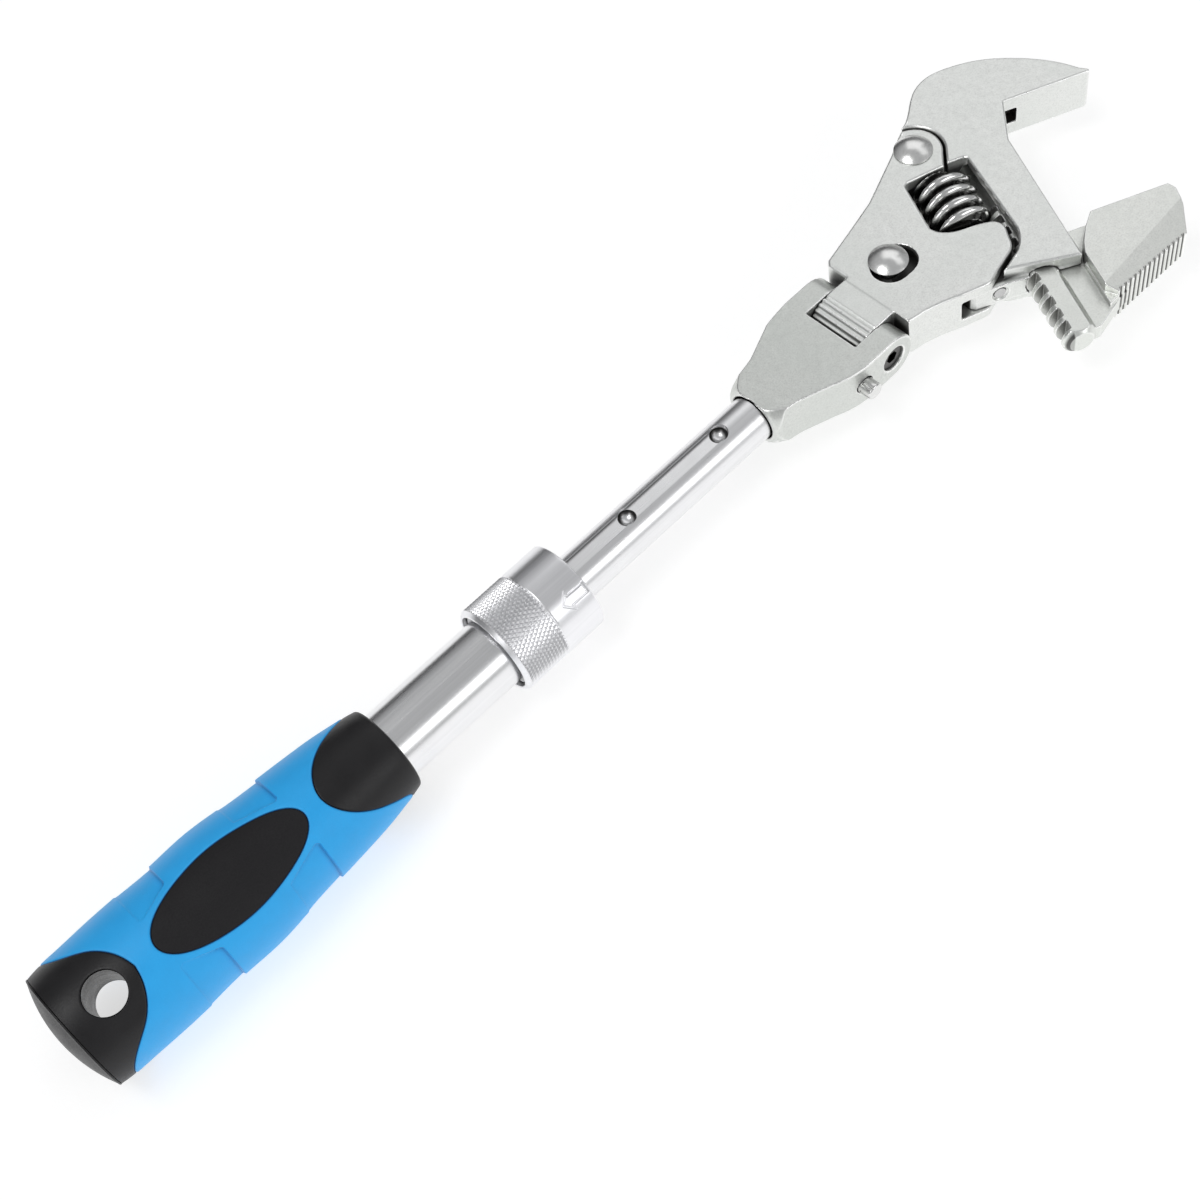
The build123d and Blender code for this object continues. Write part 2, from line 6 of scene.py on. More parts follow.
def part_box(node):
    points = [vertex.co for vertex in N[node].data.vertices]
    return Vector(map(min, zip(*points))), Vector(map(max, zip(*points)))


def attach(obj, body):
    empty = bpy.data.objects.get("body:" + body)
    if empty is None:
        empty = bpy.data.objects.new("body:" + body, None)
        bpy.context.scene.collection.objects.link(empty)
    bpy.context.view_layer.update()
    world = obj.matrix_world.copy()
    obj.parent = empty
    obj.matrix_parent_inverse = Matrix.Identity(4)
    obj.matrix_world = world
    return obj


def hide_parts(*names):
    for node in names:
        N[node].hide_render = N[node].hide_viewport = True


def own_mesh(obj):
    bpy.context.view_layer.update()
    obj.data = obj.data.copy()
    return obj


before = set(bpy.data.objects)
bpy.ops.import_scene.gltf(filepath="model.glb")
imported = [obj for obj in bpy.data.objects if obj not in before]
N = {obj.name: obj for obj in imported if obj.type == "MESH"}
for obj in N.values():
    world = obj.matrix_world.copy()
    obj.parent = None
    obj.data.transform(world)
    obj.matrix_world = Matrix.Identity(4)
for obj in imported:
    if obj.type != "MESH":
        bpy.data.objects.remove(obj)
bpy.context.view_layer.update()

# ------------------------------------------------------------------ tool frame
# x = handle axis towards the head (0 at the bottom of the yoke's slot), z = broad front, mm
_lo, _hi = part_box("outer_tube")
OFF = np.array([(_lo.x + _hi.x) / 2 + 0.1532, (_lo.y + _hi.y) / 2, (_lo.z + _hi.z) / 2])
A = math.radians(25.3)
CJ, SJ = math.cos(A), math.sin(A)
ROLL = math.radians(22.5)


def uv(u, v):
    return (u * CJ + v * SJ, -u * SJ + v * CJ)


def build(name, verts, faces, body, mat, nodes=(), angle=40.0):
    """mesh in tool millimetres -> object in the row frame, riding on a body"""
    me = bpy.data.meshes.new(name)
    co = np.asarray(verts, float) * 0.001 + OFF
    me.from_pydata(co.tolist(), [], [tuple(int(i) for i in f) for f in faces])
    me.validate()
    me.update()
    me.shade_smooth()
    me.set_sharp_from_angle(angle=math.radians(angle))
    ob = bpy.data.objects.new(name, me)
    bpy.context.scene.collection.objects.link(ob)
    me.materials.append(mat)
    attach(ob, body)
    if nodes:
        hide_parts(*nodes)
    return ob


# ------------------------------------------------------------------ node material helpers
def new_mat(name):
    m = bpy.data.materials.new(name)
    m.use_nodes = True
    nt = m.node_tree
    for n in list(nt.nodes):
        nt.nodes.remove(n)
    out = nt.nodes.new("ShaderNodeOutputMaterial")
    b = nt.nodes.new("ShaderNodeBsdfPrincipled")
    nt.links.new(b.outputs[0], out.inputs[0])
    return m, nt, b


def node(nt, kind, **kw):
    n = nt.nodes.new(kind)
    for k, v in kw.items():
        if k.startswith("i_"):
            key = k[2:].replace("_", " ")
            n.inputs[key].default_value = v
        else:
            setattr(n, k, v)
    return n


def coords(nt, scale=(1, 1, 1), rot=(0, 0, 0)):
    tc = nt.nodes.new("ShaderNodeTexCoord")
    mp = nt.nodes.new("ShaderNodeMapping")
    mp.inputs["Scale"].default_value = scale
    mp.inputs["Rotation"].default_value = rot
    nt.links.new(tc.outputs["Object"], mp.inputs["Vector"])
    return mp.outputs["Vector"]


def noise(nt, vec, scale, detail=4.0, rough=0.6, dist=0.0):
    n = nt.nodes.new("ShaderNodeTexNoise")
    n.inputs["Scale"].default_value = scale
    n.inputs["Detail"].default_value = detail
    n.inputs["Roughness"].default_value = rough
    n.inputs["Distortion"].default_value = dist
    nt.links.new(vec, n.inputs["Vector"])
    return n.outputs["Fac"]


def ramp(nt, fac, stops):
    r = nt.nodes.new("ShaderNodeValToRGB")
    els = r.color_ramp.elements
    while len(els) < len(stops):
        els.new(0.5)
    for e, (p, c) in zip(els, stops):
        e.position = p
        e.color = (c[0], c[1], c[2], 1) if isinstance(c, (tuple, list)) else (c, c, c, 1)
    nt.links.new(fac, r.inputs["Fac"])
    return r.outputs["Color"]


def rng(nt, fac, a, b, f0=0.0, f1=1.0):
    r = nt.nodes.new("ShaderNodeMapRange")
    r.inputs["From Min"].default_value = f0
    r.inputs["From Max"].default_value = f1
    r.inputs["To Min"].default_value = a
    r.inputs["To Max"].default_value = b
    nt.links.new(fac, r.inputs["Value"])
    return r.outputs["Result"]


def mixc(nt, fac, a, b, mode="MIX"):
    m = nt.nodes.new("ShaderNodeMix")
    m.data_type = "RGBA"
    m.blend_type = mode
    for sock, val in ((m.inputs["Factor"], fac), (m.inputs[6], a), (m.inputs[7], b)):
        if hasattr(val, "is_output"):
            nt.links.new(val, sock)
        elif isinstance(val, (tuple, list)):
            sock.default_value = (val[0], val[1], val[2], 1)
        else:
            sock.default_value = val
    return m.outputs[2]


def math_(nt, op, a, b=None):
    m = nt.nodes.new("ShaderNodeMath")
    m.operation = op
    for sock, val in ((m.inputs[0], a), (m.inputs[1], b)):
        if val is None:
            continue
        if hasattr(val, "is_output"):
            nt.links.new(val, sock)
        else:
            sock.default_value = val
    return m.outputs[0]


def bump(nt, height, strength, dist, prev=None):
    b = nt.nodes.new("ShaderNodeBump")
    b.inputs["Strength"].default_value = strength
    b.inputs["Distance"].default_value = dist
    nt.links.new(height, b.inputs["Height"])
    if prev is not None:
        nt.links.new(prev, b.inputs["Normal"])
    return b.outputs["Normal"]


def cast_metal(name, tint, rough, grain, shade=0.0050, lo=0.22, hi=0.66):
    """shot-blasted casting under thin bright plate"""
    m, nt, b = new_mat(name)
    v = coords(nt)
    fine = noise(nt, v, 2300, 3, 0.7)
    mid = noise(nt, v, 800, 4, 0.65)
    big = noise(nt, v, 60, 4, 0.55)
    col = ramp(nt, fine, [(0.3, tuple(c * 0.86 for c in tint)), (0.5, tint), (0.7, tuple(min(1, c * 1.07) for c in tint))])
    col = mixc(nt, rng(nt, big, 0.0, 0.5, 0.35, 0.7), col, tuple(c * q for c, q in zip(tint, (0.93, 0.95, 0.94))), "MIX")
    # painted highlight on convex edges found by pointiness, partly real edge wear: lighter colour and lower roughness
    # there
    geo = nt.nodes.new("ShaderNodeNewGeometry")
    edge = ramp(nt, geo.outputs["Pointiness"], [(0.506, 0.0), (0.54, 1.0)])
    col = mixc(nt, math_(nt, "MULTIPLY", edge, 0.85), col, (1.0, 1.0, 0.99))
    # painted shade: ambient occlusion darkens recesses towards near black and makes them less metallic
    ao = nt.nodes.new("ShaderNodeAmbientOcclusion")
    ao.samples = 16
    ao.inputs["Distance"].default_value = shade
    recess_painted_shade = rng(nt, ao.outputs["AO"], 1.0, 0.0, lo, hi)
    col = mixc(nt, recess_painted_shade, col, (0.020, 0.019, 0.018))
    nt.links.new(col, b.inputs["Base Color"])
    nt.links.new(rng(nt, recess_painted_shade, 1.0, 0.25), b.inputs["Metallic"])
    r = math_(nt, "ADD", rng(nt, mid, rough - 0.05, rough + 0.06, 0.3, 0.7), math_(nt, "MULTIPLY", edge, -0.14))
    nt.links.new(r, b.inputs["Roughness"])
    h = math_(nt, "ADD", math_(nt, "MULTIPLY", mid, 0.6), fine)
    nt.links.new(bump(nt, h, grain, 0.00006), b.inputs["Normal"])
    return m


def turned_metal(name, tint, rough, axis, streak=0.02, shade=0.0, dark=(0.03, 0.028, 0.027), grain=0.03):
    """turned or drawn bright steel: very fine streaks along an axis, with painted shade in its recesses when shade is
    set
    """
    m, nt, b = new_mat(name)
    s = [1500.0, 1500.0, 1500.0]
    s["xyz".index(axis)] = 16.0
    v = coords(nt, tuple(s))
    st = noise(nt, v, 1.0, 3, 0.55)
    v2 = coords(nt)
    sm = noise(nt, v2, 120, 4, 0.6)
    col = ramp(nt, st, [(0.3, tuple(c * 0.95 for c in tint)), (0.7, tuple(min(1, c * 1.03) for c in tint))])
    col = mixc(nt, rng(nt, sm, 0.0, 0.2, 0.4, 0.75), col, tuple(c * 0.86 for c in tint))
    # painted shade: ambient occlusion darkens recesses towards the dark colour
    if shade:
        ao = nt.nodes.new("ShaderNodeAmbientOcclusion")
        ao.samples = 16
        ao.inputs["Distance"].default_value = shade
        col = mixc(nt, rng(nt, ao.outputs["AO"], 1.0, 0.0, 0.30, 0.80), col, dark)
    nt.links.new(col, b.inputs["Base Color"])
    b.inputs["Metallic"].default_value = 1.0
    r = math_(nt, "ADD", rng(nt, st, rough - streak, rough + streak, 0.3, 0.7), rng(nt, sm, -0.015, 0.02, 0.3, 0.7))
    nt.links.new(r, b.inputs["Roughness"])
    nt.links.new(bump(nt, st, grain, 0.00002), b.inputs["Normal"])
    return m


def plastic(name, base, dark, rough, grain, scale=3000, shade=0.0, painted_shade_col=(0.004, 0.004, 0.004), lo=0.35, hi=0.9):
    m, nt, b = new_mat(name)
    v = coords(nt)
    fine = noise(nt, v, scale, 2, 0.5)
    mid = noise(nt, v, 260, 4, 0.6)
    col = ramp(nt, mid, [(0.3, dark), (0.7, base)])
    # painted shade: ambient occlusion darkens recesses towards a darker colour
    if shade:
        ao = nt.nodes.new("ShaderNodeAmbientOcclusion")
        ao.samples = 16
        ao.inputs["Distance"].default_value = shade
        col = mixc(nt, rng(nt, ao.outputs["AO"], 1.0, 0.0, lo, hi), col, painted_shade_col)
    nt.links.new(col, b.inputs["Base Color"])
    b.inputs["Metallic"].default_value = 0.0
    r = math_(nt, "ADD", rng(nt, fine, rough - 0.05, rough + 0.05, 0.3, 0.7), rng(nt, mid, -0.04, 0.04, 0.3, 0.7))
    nt.links.new(r, b.inputs["Roughness"])
    nt.links.new(bump(nt, fine, grain, 0.00008), b.inputs["Normal"])
    return m


M_CAST = cast_metal("cast_nickel", (0.80, 0.81, 0.79), 0.38, 0.42)
M_CAST2 = cast_metal("cast_nickel_jaw", (0.80, 0.81, 0.79), 0.37, 0.42)
M_CAST3 = cast_metal("cast_nickel_teeth", (0.80, 0.81, 0.78), 0.37, 0.40, 0.0024, 0.25, 0.75)
M_TUBE = turned_metal("satin_chrome_x", (0.86, 0.86, 0.87), 0.25, "x")
M_ROD = turned_metal("satin_chrome_rod", (0.86, 0.86, 0.87), 0.29, "x", 0.02, 0.0016)
M_COLLAR = turned_metal("satin_chrome_collar", (0.88, 0.88, 0.90), 0.31, "x", 0.02, 0.0007, (0.07, 0.065, 0.065))
M_BRIGHT = turned_metal("polished_steel", (0.84, 0.84, 0.83), 0.25, "z")
# darker steel; on the worm pin this tone stands in for the shade of the jaw's recess round the pin end, which is
# painted shade
M_RING = turned_metal("ring_steel", (0.55, 0.55, 0.55), 0.25, "z", 0.02, 0.0012)
M_WORM = turned_metal("worm_steel", (0.80, 0.80, 0.79), 0.15, "z", 0.02, 0.0028, (0.03, 0.028, 0.026))
M_DARK = turned_metal("spring_steel", (0.22, 0.22, 0.23), 0.28, "x")
# fold screw head near black, standing in for the shade of its recess: painted shade; ambient occlusion darkens its
# recesses further, also painted shade
M_SCREW = turned_metal("screw_dark_painted_shade", (0.10, 0.098, 0.096), 0.30, "y", 0.02, 0.0030)
M_BUTTON = turned_metal("button_steel", (0.78, 0.78, 0.77), 0.20, "y", 0.02, 0.0012, (0.05, 0.048, 0.046))
# a darker copy of the cast nickel, toning down the yoke's lit faces: painted shade
M_YOKE = cast_metal("cast_nickel_yoke", (0.68, 0.695, 0.67), 0.38, 0.45)
M_BLACK = plastic("grip_black_plastic", (0.0085, 0.0080, 0.0092), (0.0066, 0.0062, 0.0072), 0.42, 0.30, 3000, 0.006, (0.002, 0.002, 0.002), 0.2, 0.8)
M_PAD = plastic("grip_black_pad", (0.0072, 0.0066, 0.0082), (0.0057, 0.0052, 0.0065), 0.70, 0.45)
M_BLUE = plastic("grip_blue_soft", (0.012, 0.42, 0.92), (0.010, 0.395, 0.88), 0.50, 0.40, 3000, 0.0013, (0.003, 0.085, 0.30), 0.55, 0.97)
M_BLUE.node_tree.nodes["Principled BSDF"].inputs["Sheen Weight"].default_value = 0.10
for m_ in (M_BLACK, M_PAD):
    m_.node_tree.nodes["Principled BSDF"].inputs["Specular IOR Level"].default_value = 0.36



def paint_rod_dimple_shade(m, x0, y0, pitch):
    """painted shade: darken the steep sides of the lock dimples and the groove's inner corners"""
    nt = m.node_tree
    b = nt.nodes["Principled BSDF"]
    src = b.inputs["Base Color"].links[0].from_socket
    tc = nt.nodes.new("ShaderNodeTexCoord")
    sp = nt.nodes.new("ShaderNodeSeparateXYZ")
    nt.links.new(tc.outputs["Object"], sp.inputs[0])
    dx = math_(nt, "SUBTRACT", sp.outputs["X"], x0)
    dx = math_(nt, "WRAP", dx, pitch / 2)
    dx.node.inputs[2].default_value = -pitch / 2
    dy = math_(nt, "SUBTRACT", sp.outputs["Y"], y0)
    rr = math_(nt, "SQRT", math_(nt, "ADD", math_(nt, "MULTIPLY", dx, dx), math_(nt, "MULTIPLY", dy, dy)))
    ring = ramp(nt, rng(nt, rr, 0.0, 1.0, 0.0, 0.0030), [(0.0, 0.0), (0.40, 0.05), (0.56, 0.9), (0.72, 1.0), (0.76, 0.0)])
    up = rng(nt, sp.outputs["Z"], 0.0, 1.0, OFF[2] + 0.0030, OFF[2] + 0.0033)
    front = math_(nt, "MULTIPLY", ring, up)
    col = mixc(nt, front, src, (0.035, 0.033, 0.032))
    nt.links.new(col, b.inputs["Base Color"])


paint_rod_dimple_shade(M_ROD, OFF[0] - 0.0383, OFF[1], 0.030)


def repeat_shade(m, origin, ang, pitch, phase, half, lim, span, tone):
    """shade the bottoms of a row of equal grooves: along = direction of the row, across = into the metal"""
    nt = m.node_tree
    b = nt.nodes["Principled BSDF"]
    src = b.inputs["Base Color"].links[0].from_socket
    tc = nt.nodes.new("ShaderNodeTexCoord")
    sp = nt.nodes.new("ShaderNodeSeparateXYZ")
    nt.links.new(tc.outputs["Object"], sp.inputs[0])
    ox, oy = OFF[0] + origin[0] * 0.001, OFF[1] + origin[1] * 0.001
    px = math_(nt, "SUBTRACT", sp.outputs["X"], ox)
    py = math_(nt, "SUBTRACT", sp.outputs["Y"], oy)
    ca, sa = math.cos(ang), math.sin(ang)
    al = math_(nt, "ADD", math_(nt, "MULTIPLY", px, ca), math_(nt, "MULTIPLY", py, sa))
    ac = math_(nt, "ADD", math_(nt, "MULTIPLY", px, -sa), math_(nt, "MULTIPLY", py, ca))
    q = math_(nt, "WRAP", math_(nt, "SUBTRACT", al, phase * 0.001), pitch * 0.0005)
    q.node.inputs[2].default_value = -pitch * 0.0005
    g = rng(nt, math_(nt, "ABSOLUTE", q), 1.0, 0.0, half * 0.0008, half * 0.0012)
    d = rng(nt, ac, lim[2], 1.0 - lim[2], lim[0] * 0.001, lim[1] * 0.001)
    lo_ = rng(nt, al, 0.0, 1.0, (span[0] - 0.2) * 0.001, span[0] * 0.001)
    hi_ = rng(nt, al, 1.0, 0.0, span[1] * 0.001, (span[1] + 0.2) * 0.001)
    f = math_(nt, "MULTIPLY", math_(nt, "MULTIPLY", g, d), math_(nt, "MULTIPLY", lo_, hi_))
    nt.links.new(mixc(nt, math_(nt, "MULTIPLY", f, 0.9), src, tone), b.inputs["Base Color"])


def deep_slot(m, u0, u1, v0, v1, z1, tone, ze=0.0003):
    """shade the inside of the web's slot in the jaw body"""
    nt = m.node_tree
    b = nt.nodes["Principled BSDF"]
    src = b.inputs["Base Color"].links[0].from_socket
    tc = nt.nodes.new("ShaderNodeTexCoord")
    sp = nt.nodes.new("ShaderNodeSeparateXYZ")
    nt.links.new(tc.outputs["Object"], sp.inputs[0])
    px = math_(nt, "SUBTRACT", sp.outputs["X"], OFF[0])
    py = math_(nt, "SUBTRACT", sp.outputs["Y"], OFF[1])
    pz = math_(nt, "ABSOLUTE", math_(nt, "SUBTRACT", sp.outputs["Z"], OFF[2]))
    pu = math_(nt, "SUBTRACT", math_(nt, "MULTIPLY", px, CJ), math_(nt, "MULTIPLY", py, SJ))
    pv = math_(nt, "ADD", math_(nt, "MULTIPLY", px, SJ), math_(nt, "MULTIPLY", py, CJ))
    e = 0.0003
    f = math_(nt, "MULTIPLY", rng(nt, pu, 0.0, 1.0, u0 * 0.001 - e, u0 * 0.001), rng(nt, pu, 1.0, 0.0, u1 * 0.001, u1 * 0.001 + e))
    g = math_(nt, "MULTIPLY", rng(nt, pv, 0.0, 1.0, v0 * 0.001 - e, v0 * 0.001 + e), rng(nt, pv, 1.0, 0.0, v1 * 0.001, v1 * 0.001 + e))
    f = math_(nt, "MULTIPLY", math_(nt, "MULTIPLY", f, g), rng(nt, pz, 1.0, 0.0, z1 * 0.001, z1 * 0.001 + ze))
    nt.links.new(mixc(nt, math_(nt, "MULTIPLY", f, 0.92), src, tone), b.inputs["Base Color"])


# painted shade: the end of the web's slot, and the tongue's faces that lie between the head's cheeks
deep_slot(M_CAST2, 62.9, 70.5, 48.9, 53.0, 2.35, (0.045, 0.036, 0.030))
deep_slot(M_CAST2, 20.0, 61.2, -1.5, 44.0, 3.1, (0.016, 0.015, 0.014), 0.0016)


def deep_round(m, cx, cy, r, z1, tone):
    """shade the walls of a round slot below its rim"""
    nt = m.node_tree
    b = nt.nodes["Principled BSDF"]
    src = b.inputs["Base Color"].links[0].from_socket
    tc = nt.nodes.new("ShaderNodeTexCoord")
    sp = nt.nodes.new("ShaderNodeSeparateXYZ")
    nt.links.new(tc.outputs["Object"], sp.inputs[0])
    px = math_(nt, "SUBTRACT", sp.outputs["X"], OFF[0] + cx * 0.001)
    py = math_(nt, "SUBTRACT", sp.outputs["Y"], OFF[1] + cy * 0.001)
    pz = math_(nt, "ABSOLUTE", math_(nt, "SUBTRACT", sp.outputs["Z"], OFF[2]))
    rr = math_(nt, "SQRT", math_(nt, "ADD", math_(nt, "MULTIPLY", px, px), math_(nt, "MULTIPLY", py, py)))
    f = math_(nt, "MULTIPLY", rng(nt, rr, 1.0, 0.0, r * 0.001, r * 0.001 + 0.0003), rng(nt, pz, 1.0, 0.0, z1 * 0.001 - 0.0010, z1 * 0.001))
    nt.links.new(mixc(nt, math_(nt, "MULTIPLY", f, 0.92), src, tone), b.inputs["Base Color"])


deep_round(M_CAST, 24.6, 1.9, 6.6, 6.0, (0.016, 0.015, 0.014))

# rack notches on the bar: the row runs along v, the metal lies towards +u
_vdir = math.atan2(CJ, SJ)
repeat_shade(M_CAST3, uv(51.35, 0.0), _vdir, 4.0, 0.0, 1.25, (-0.35, -0.05, 0.0), (-23.5, 21.3), (0.05, 0.048, 0.046))
# pipe teeth: the row runs along the outer edge of the lower jaw
_a0, _a1 = uv(65.7, -17.1), uv(87.9, -7.5)
_tdir = math.atan2(_a1[1] - _a0[1], _a1[0] - _a0[0])
repeat_shade(M_CAST3, _a0, _tdir, 1.71, 0.95, 0.42, (0.55, 0.9, 1.0), (0.1, 24.1), (0.05, 0.048, 0.046))

for n, m in {"yoke": M_YOKE, "head_body": M_CAST, "jaw_body": M_CAST2, "movable_jaw": M_CAST3, "rod": M_ROD, "outer_tube": M_TUBE,
             "lock_collar": M_COLLAR, "rod_stop_bush": M_DARK, "rod_end_screw": M_DARK, "collar_stop_ring": M_DARK, "collar_rear_ring": M_RING,
             "collar_washer": M_BRIGHT, "collar_spring": M_DARK, "lock_ball": M_BRIGHT, "grip_core": M_BLACK, "grip_overmould": M_BLUE,
             "end_cap": M_BLACK, "fold_pivot_screw": M_SCREW, "lock_pin": M_BUTTON, "lock_pin_spring": M_DARK, "lock_pin_plug": M_DARK,
             "pivot_rivet": M_BRIGHT, "limit_stud": M_BRIGHT, "worm": M_WORM, "worm_pin": M_RING, "worm_spring": M_DARK,
             "swing_return_spring": M_DARK}.items():
    ob = N[n]
    ob.data.materials.clear()
    ob.data.materials.append(m)


# ------------------------------------------------------------------ mesh helpers
def hide(ob_names):
    pass


def arc_profile(pts):
    """[(x, r, fillet)] -> profile with rounded corners, in order"""
    out = []
    n = len(pts)
    for i, p in enumerate(pts):
        f = p[2] if len(p) > 2 else 0
        if f <= 0 or i == 0 or i == n - 1:
            out.append((p[0], p[1]))
            continue
        a, b, c = np.array(pts[i - 1][:2], float), np.array(p[:2], float), np.array(pts[i + 1][:2], float)
        u, v = a - b, c - b
        lu, lv = np.linalg.norm(u), np.linalg.norm(v)
        u, v = u / lu, v / lv
        ang = math.acos(max(-1, min(1, float(u @ v))))
        if ang > math.pi - 0.02:
            out.append((p[0], p[1]))
            continue
        d = min(f / math.tan(ang / 2), 0.48 * lu, 0.48 * lv)
        rr = d * math.tan(ang / 2)
        cen = b + (u + v) / np.linalg.norm(u + v) * (rr / math.sin(ang / 2))
        s0, s1 = b + u * d - cen, b + v * d - cen
        a0, a1 = math.atan2(s0[1], s0[0]), math.atan2(s1[1], s1[0])
        da = (a1 - a0 + math.pi) % (2 * math.pi) - math.pi
        for q in range(7):
            an = a0 + da * q / 6
            out.append((cen[0] + rr * math.cos(an), cen[1] + rr * math.sin(an)))
    return out


def lathe(profile, n=192, rfun=None):
    """profile [(x, r)] turned about x: closed at the axis where r = 0, closed as a ring otherwise"""
    verts, rings, faces = [], [], []
    for x, r in profile:
        if r < 1e-6:
            rings.append([len(verts)] * n)
            verts.append((x, 0, 0))
        else:
            st = len(verts)
            for i in range(n):
                a = 2 * math.pi * i / n
                q = r if rfun is None else rfun(x, r, a)
                verts.append((x, -q * math.sin(a), q * math.cos(a)))
            rings.append(list(range(st, st + n)))
    m = len(rings)
    ring_closed = profile[0][1] > 1e-6
    for j in range(m if ring_closed else m - 1):
        a, b = rings[j], rings[(j + 1) % m]
        for i in range(n):
            k2 = (i + 1) % n
            f = [a[i], a[k2], b[k2], b[i]]
            g = []
            for q in f:
                if q not in g:
                    g.append(q)
            if len(g) > 2:
                faces.append(g)
    return verts, faces


def smoothstep(a, b, x):
    t = np.clip((x - a) / (b - a), 0, 1)
    return t * t * (3 - 2 * t)


def cubic(xs, ys):
    """natural cubic spline"""
    xs, ys = np.asarray(xs, float), np.asarray(ys, float)
    n = len(xs)
    h = np.diff(xs)
    M = np.zeros((n, n)); r = np.zeros(n)
    M[0, 0] = M[-1, -1] = 1
    for i in range(1, n - 1):
        M[i, i - 1], M[i, i], M[i, i + 1] = h[i - 1], 2 * (h[i - 1] + h[i]), h[i]
        r[i] = 6 * ((ys[i + 1] - ys[i]) / h[i] - (ys[i] - ys[i - 1]) / h[i - 1])
    m = np.linalg.solve(M, r)

    def f(x):
        x = np.asarray(x, float)
        i = np.clip(np.searchsorted(xs, x) - 1, 0, n - 2)
        d0, d1 = x - xs[i], xs[i + 1] - x
        return (m[i] * d1 ** 3 + m[i + 1] * d0 ** 3) / (6 * h[i]) + (ys[i] / h[i] - m[i] * h[i] / 6) * d1 + (ys[i + 1] / h[i] - m[i + 1] * h[i] / 6) * d0
    return f


def sdist(P, poly):
    """signed distance of points to an open polyline in the (x, s) plane, positive on its left"""
    P = np.asarray(P, float)
    best = np.full(len(P), 1e9); sign = np.ones(len(P))
    for a, b in zip(poly[:-1], poly[1:]):
        a, b = np.array(a, float), np.array(b, float)
        d = b - a
        l2 = float(d @ d)
        if l2 < 1e-12:
            continue
        t = np.clip(((P - a) @ d) / l2, 0, 1)
        q = P - (a + t[:, None] * d)
        dist = np.hypot(q[:, 0], q[:, 1])
        cr = d[0] * (P[:, 1] - a[1]) - d[1] * (P[:, 0] - a[0])
        upd = dist < best - 1e-9
        best[upd] = dist[upd]
        sign[upd] = np.where(cr[upd] >= 0, 1, -1)
    return best * sign


def offset_poly(poly, d):
    """poly moved to its left by d"""
    P = np.asarray(poly, float)
    t = np.gradient(P, axis=0)
    t /= np.linalg.norm(t, axis=1)[:, None]
    n = np.stack([-t[:, 1], t[:, 0]], 1)
    return P + n * d


# ------------------------------------------------------------------ grip: black core and blue soft skin
GR = [(-233.0, 14.3), (-230.9, 14.7), (-228.5, 15.0), (-223.0, 15.15), (-217.0, 15.3), (-211.0, 15.35), (-203.0, 15.25), (-195.0, 15.4), (-188.5, 15.5),
      (-182.5, 15.05), (-178.0, 14.55), (-169.6, 14.1), (-161.0, 13.45), (-154.0, 12.75), (-148.0, 11.8), (-145.0, 11.25), (-143.0, 10.7)]
grip_r = cubic([g[0] for g in GR], [g[1] for g in GR])
R0 = 15.0
XA, XB, SQ = -231.0, -144.6, R0 * math.pi / 2
XH, RH = -221.3, 4.75
nose_x = cubic([0, 8, 16, 25, 33, 41, 48, 55, 62, 68, 75, 82, 90], [-163.0, -162.7, -161.9, -160.5, -158.8, -156.7, -154.6, -152.3, -150.2, -148.5, -147.2, -146.6, -146.4])
butt_x = cubic([0, 10, 25, 39, 51, 60, 70, 80, 90], [-213.4, -214.0, -215.9, -219.0, -222.7, -225.0, -226.6, -227.4, -227.6])
PX, PA, PB = -187.8, 20.1, math.radians(32.8) * R0


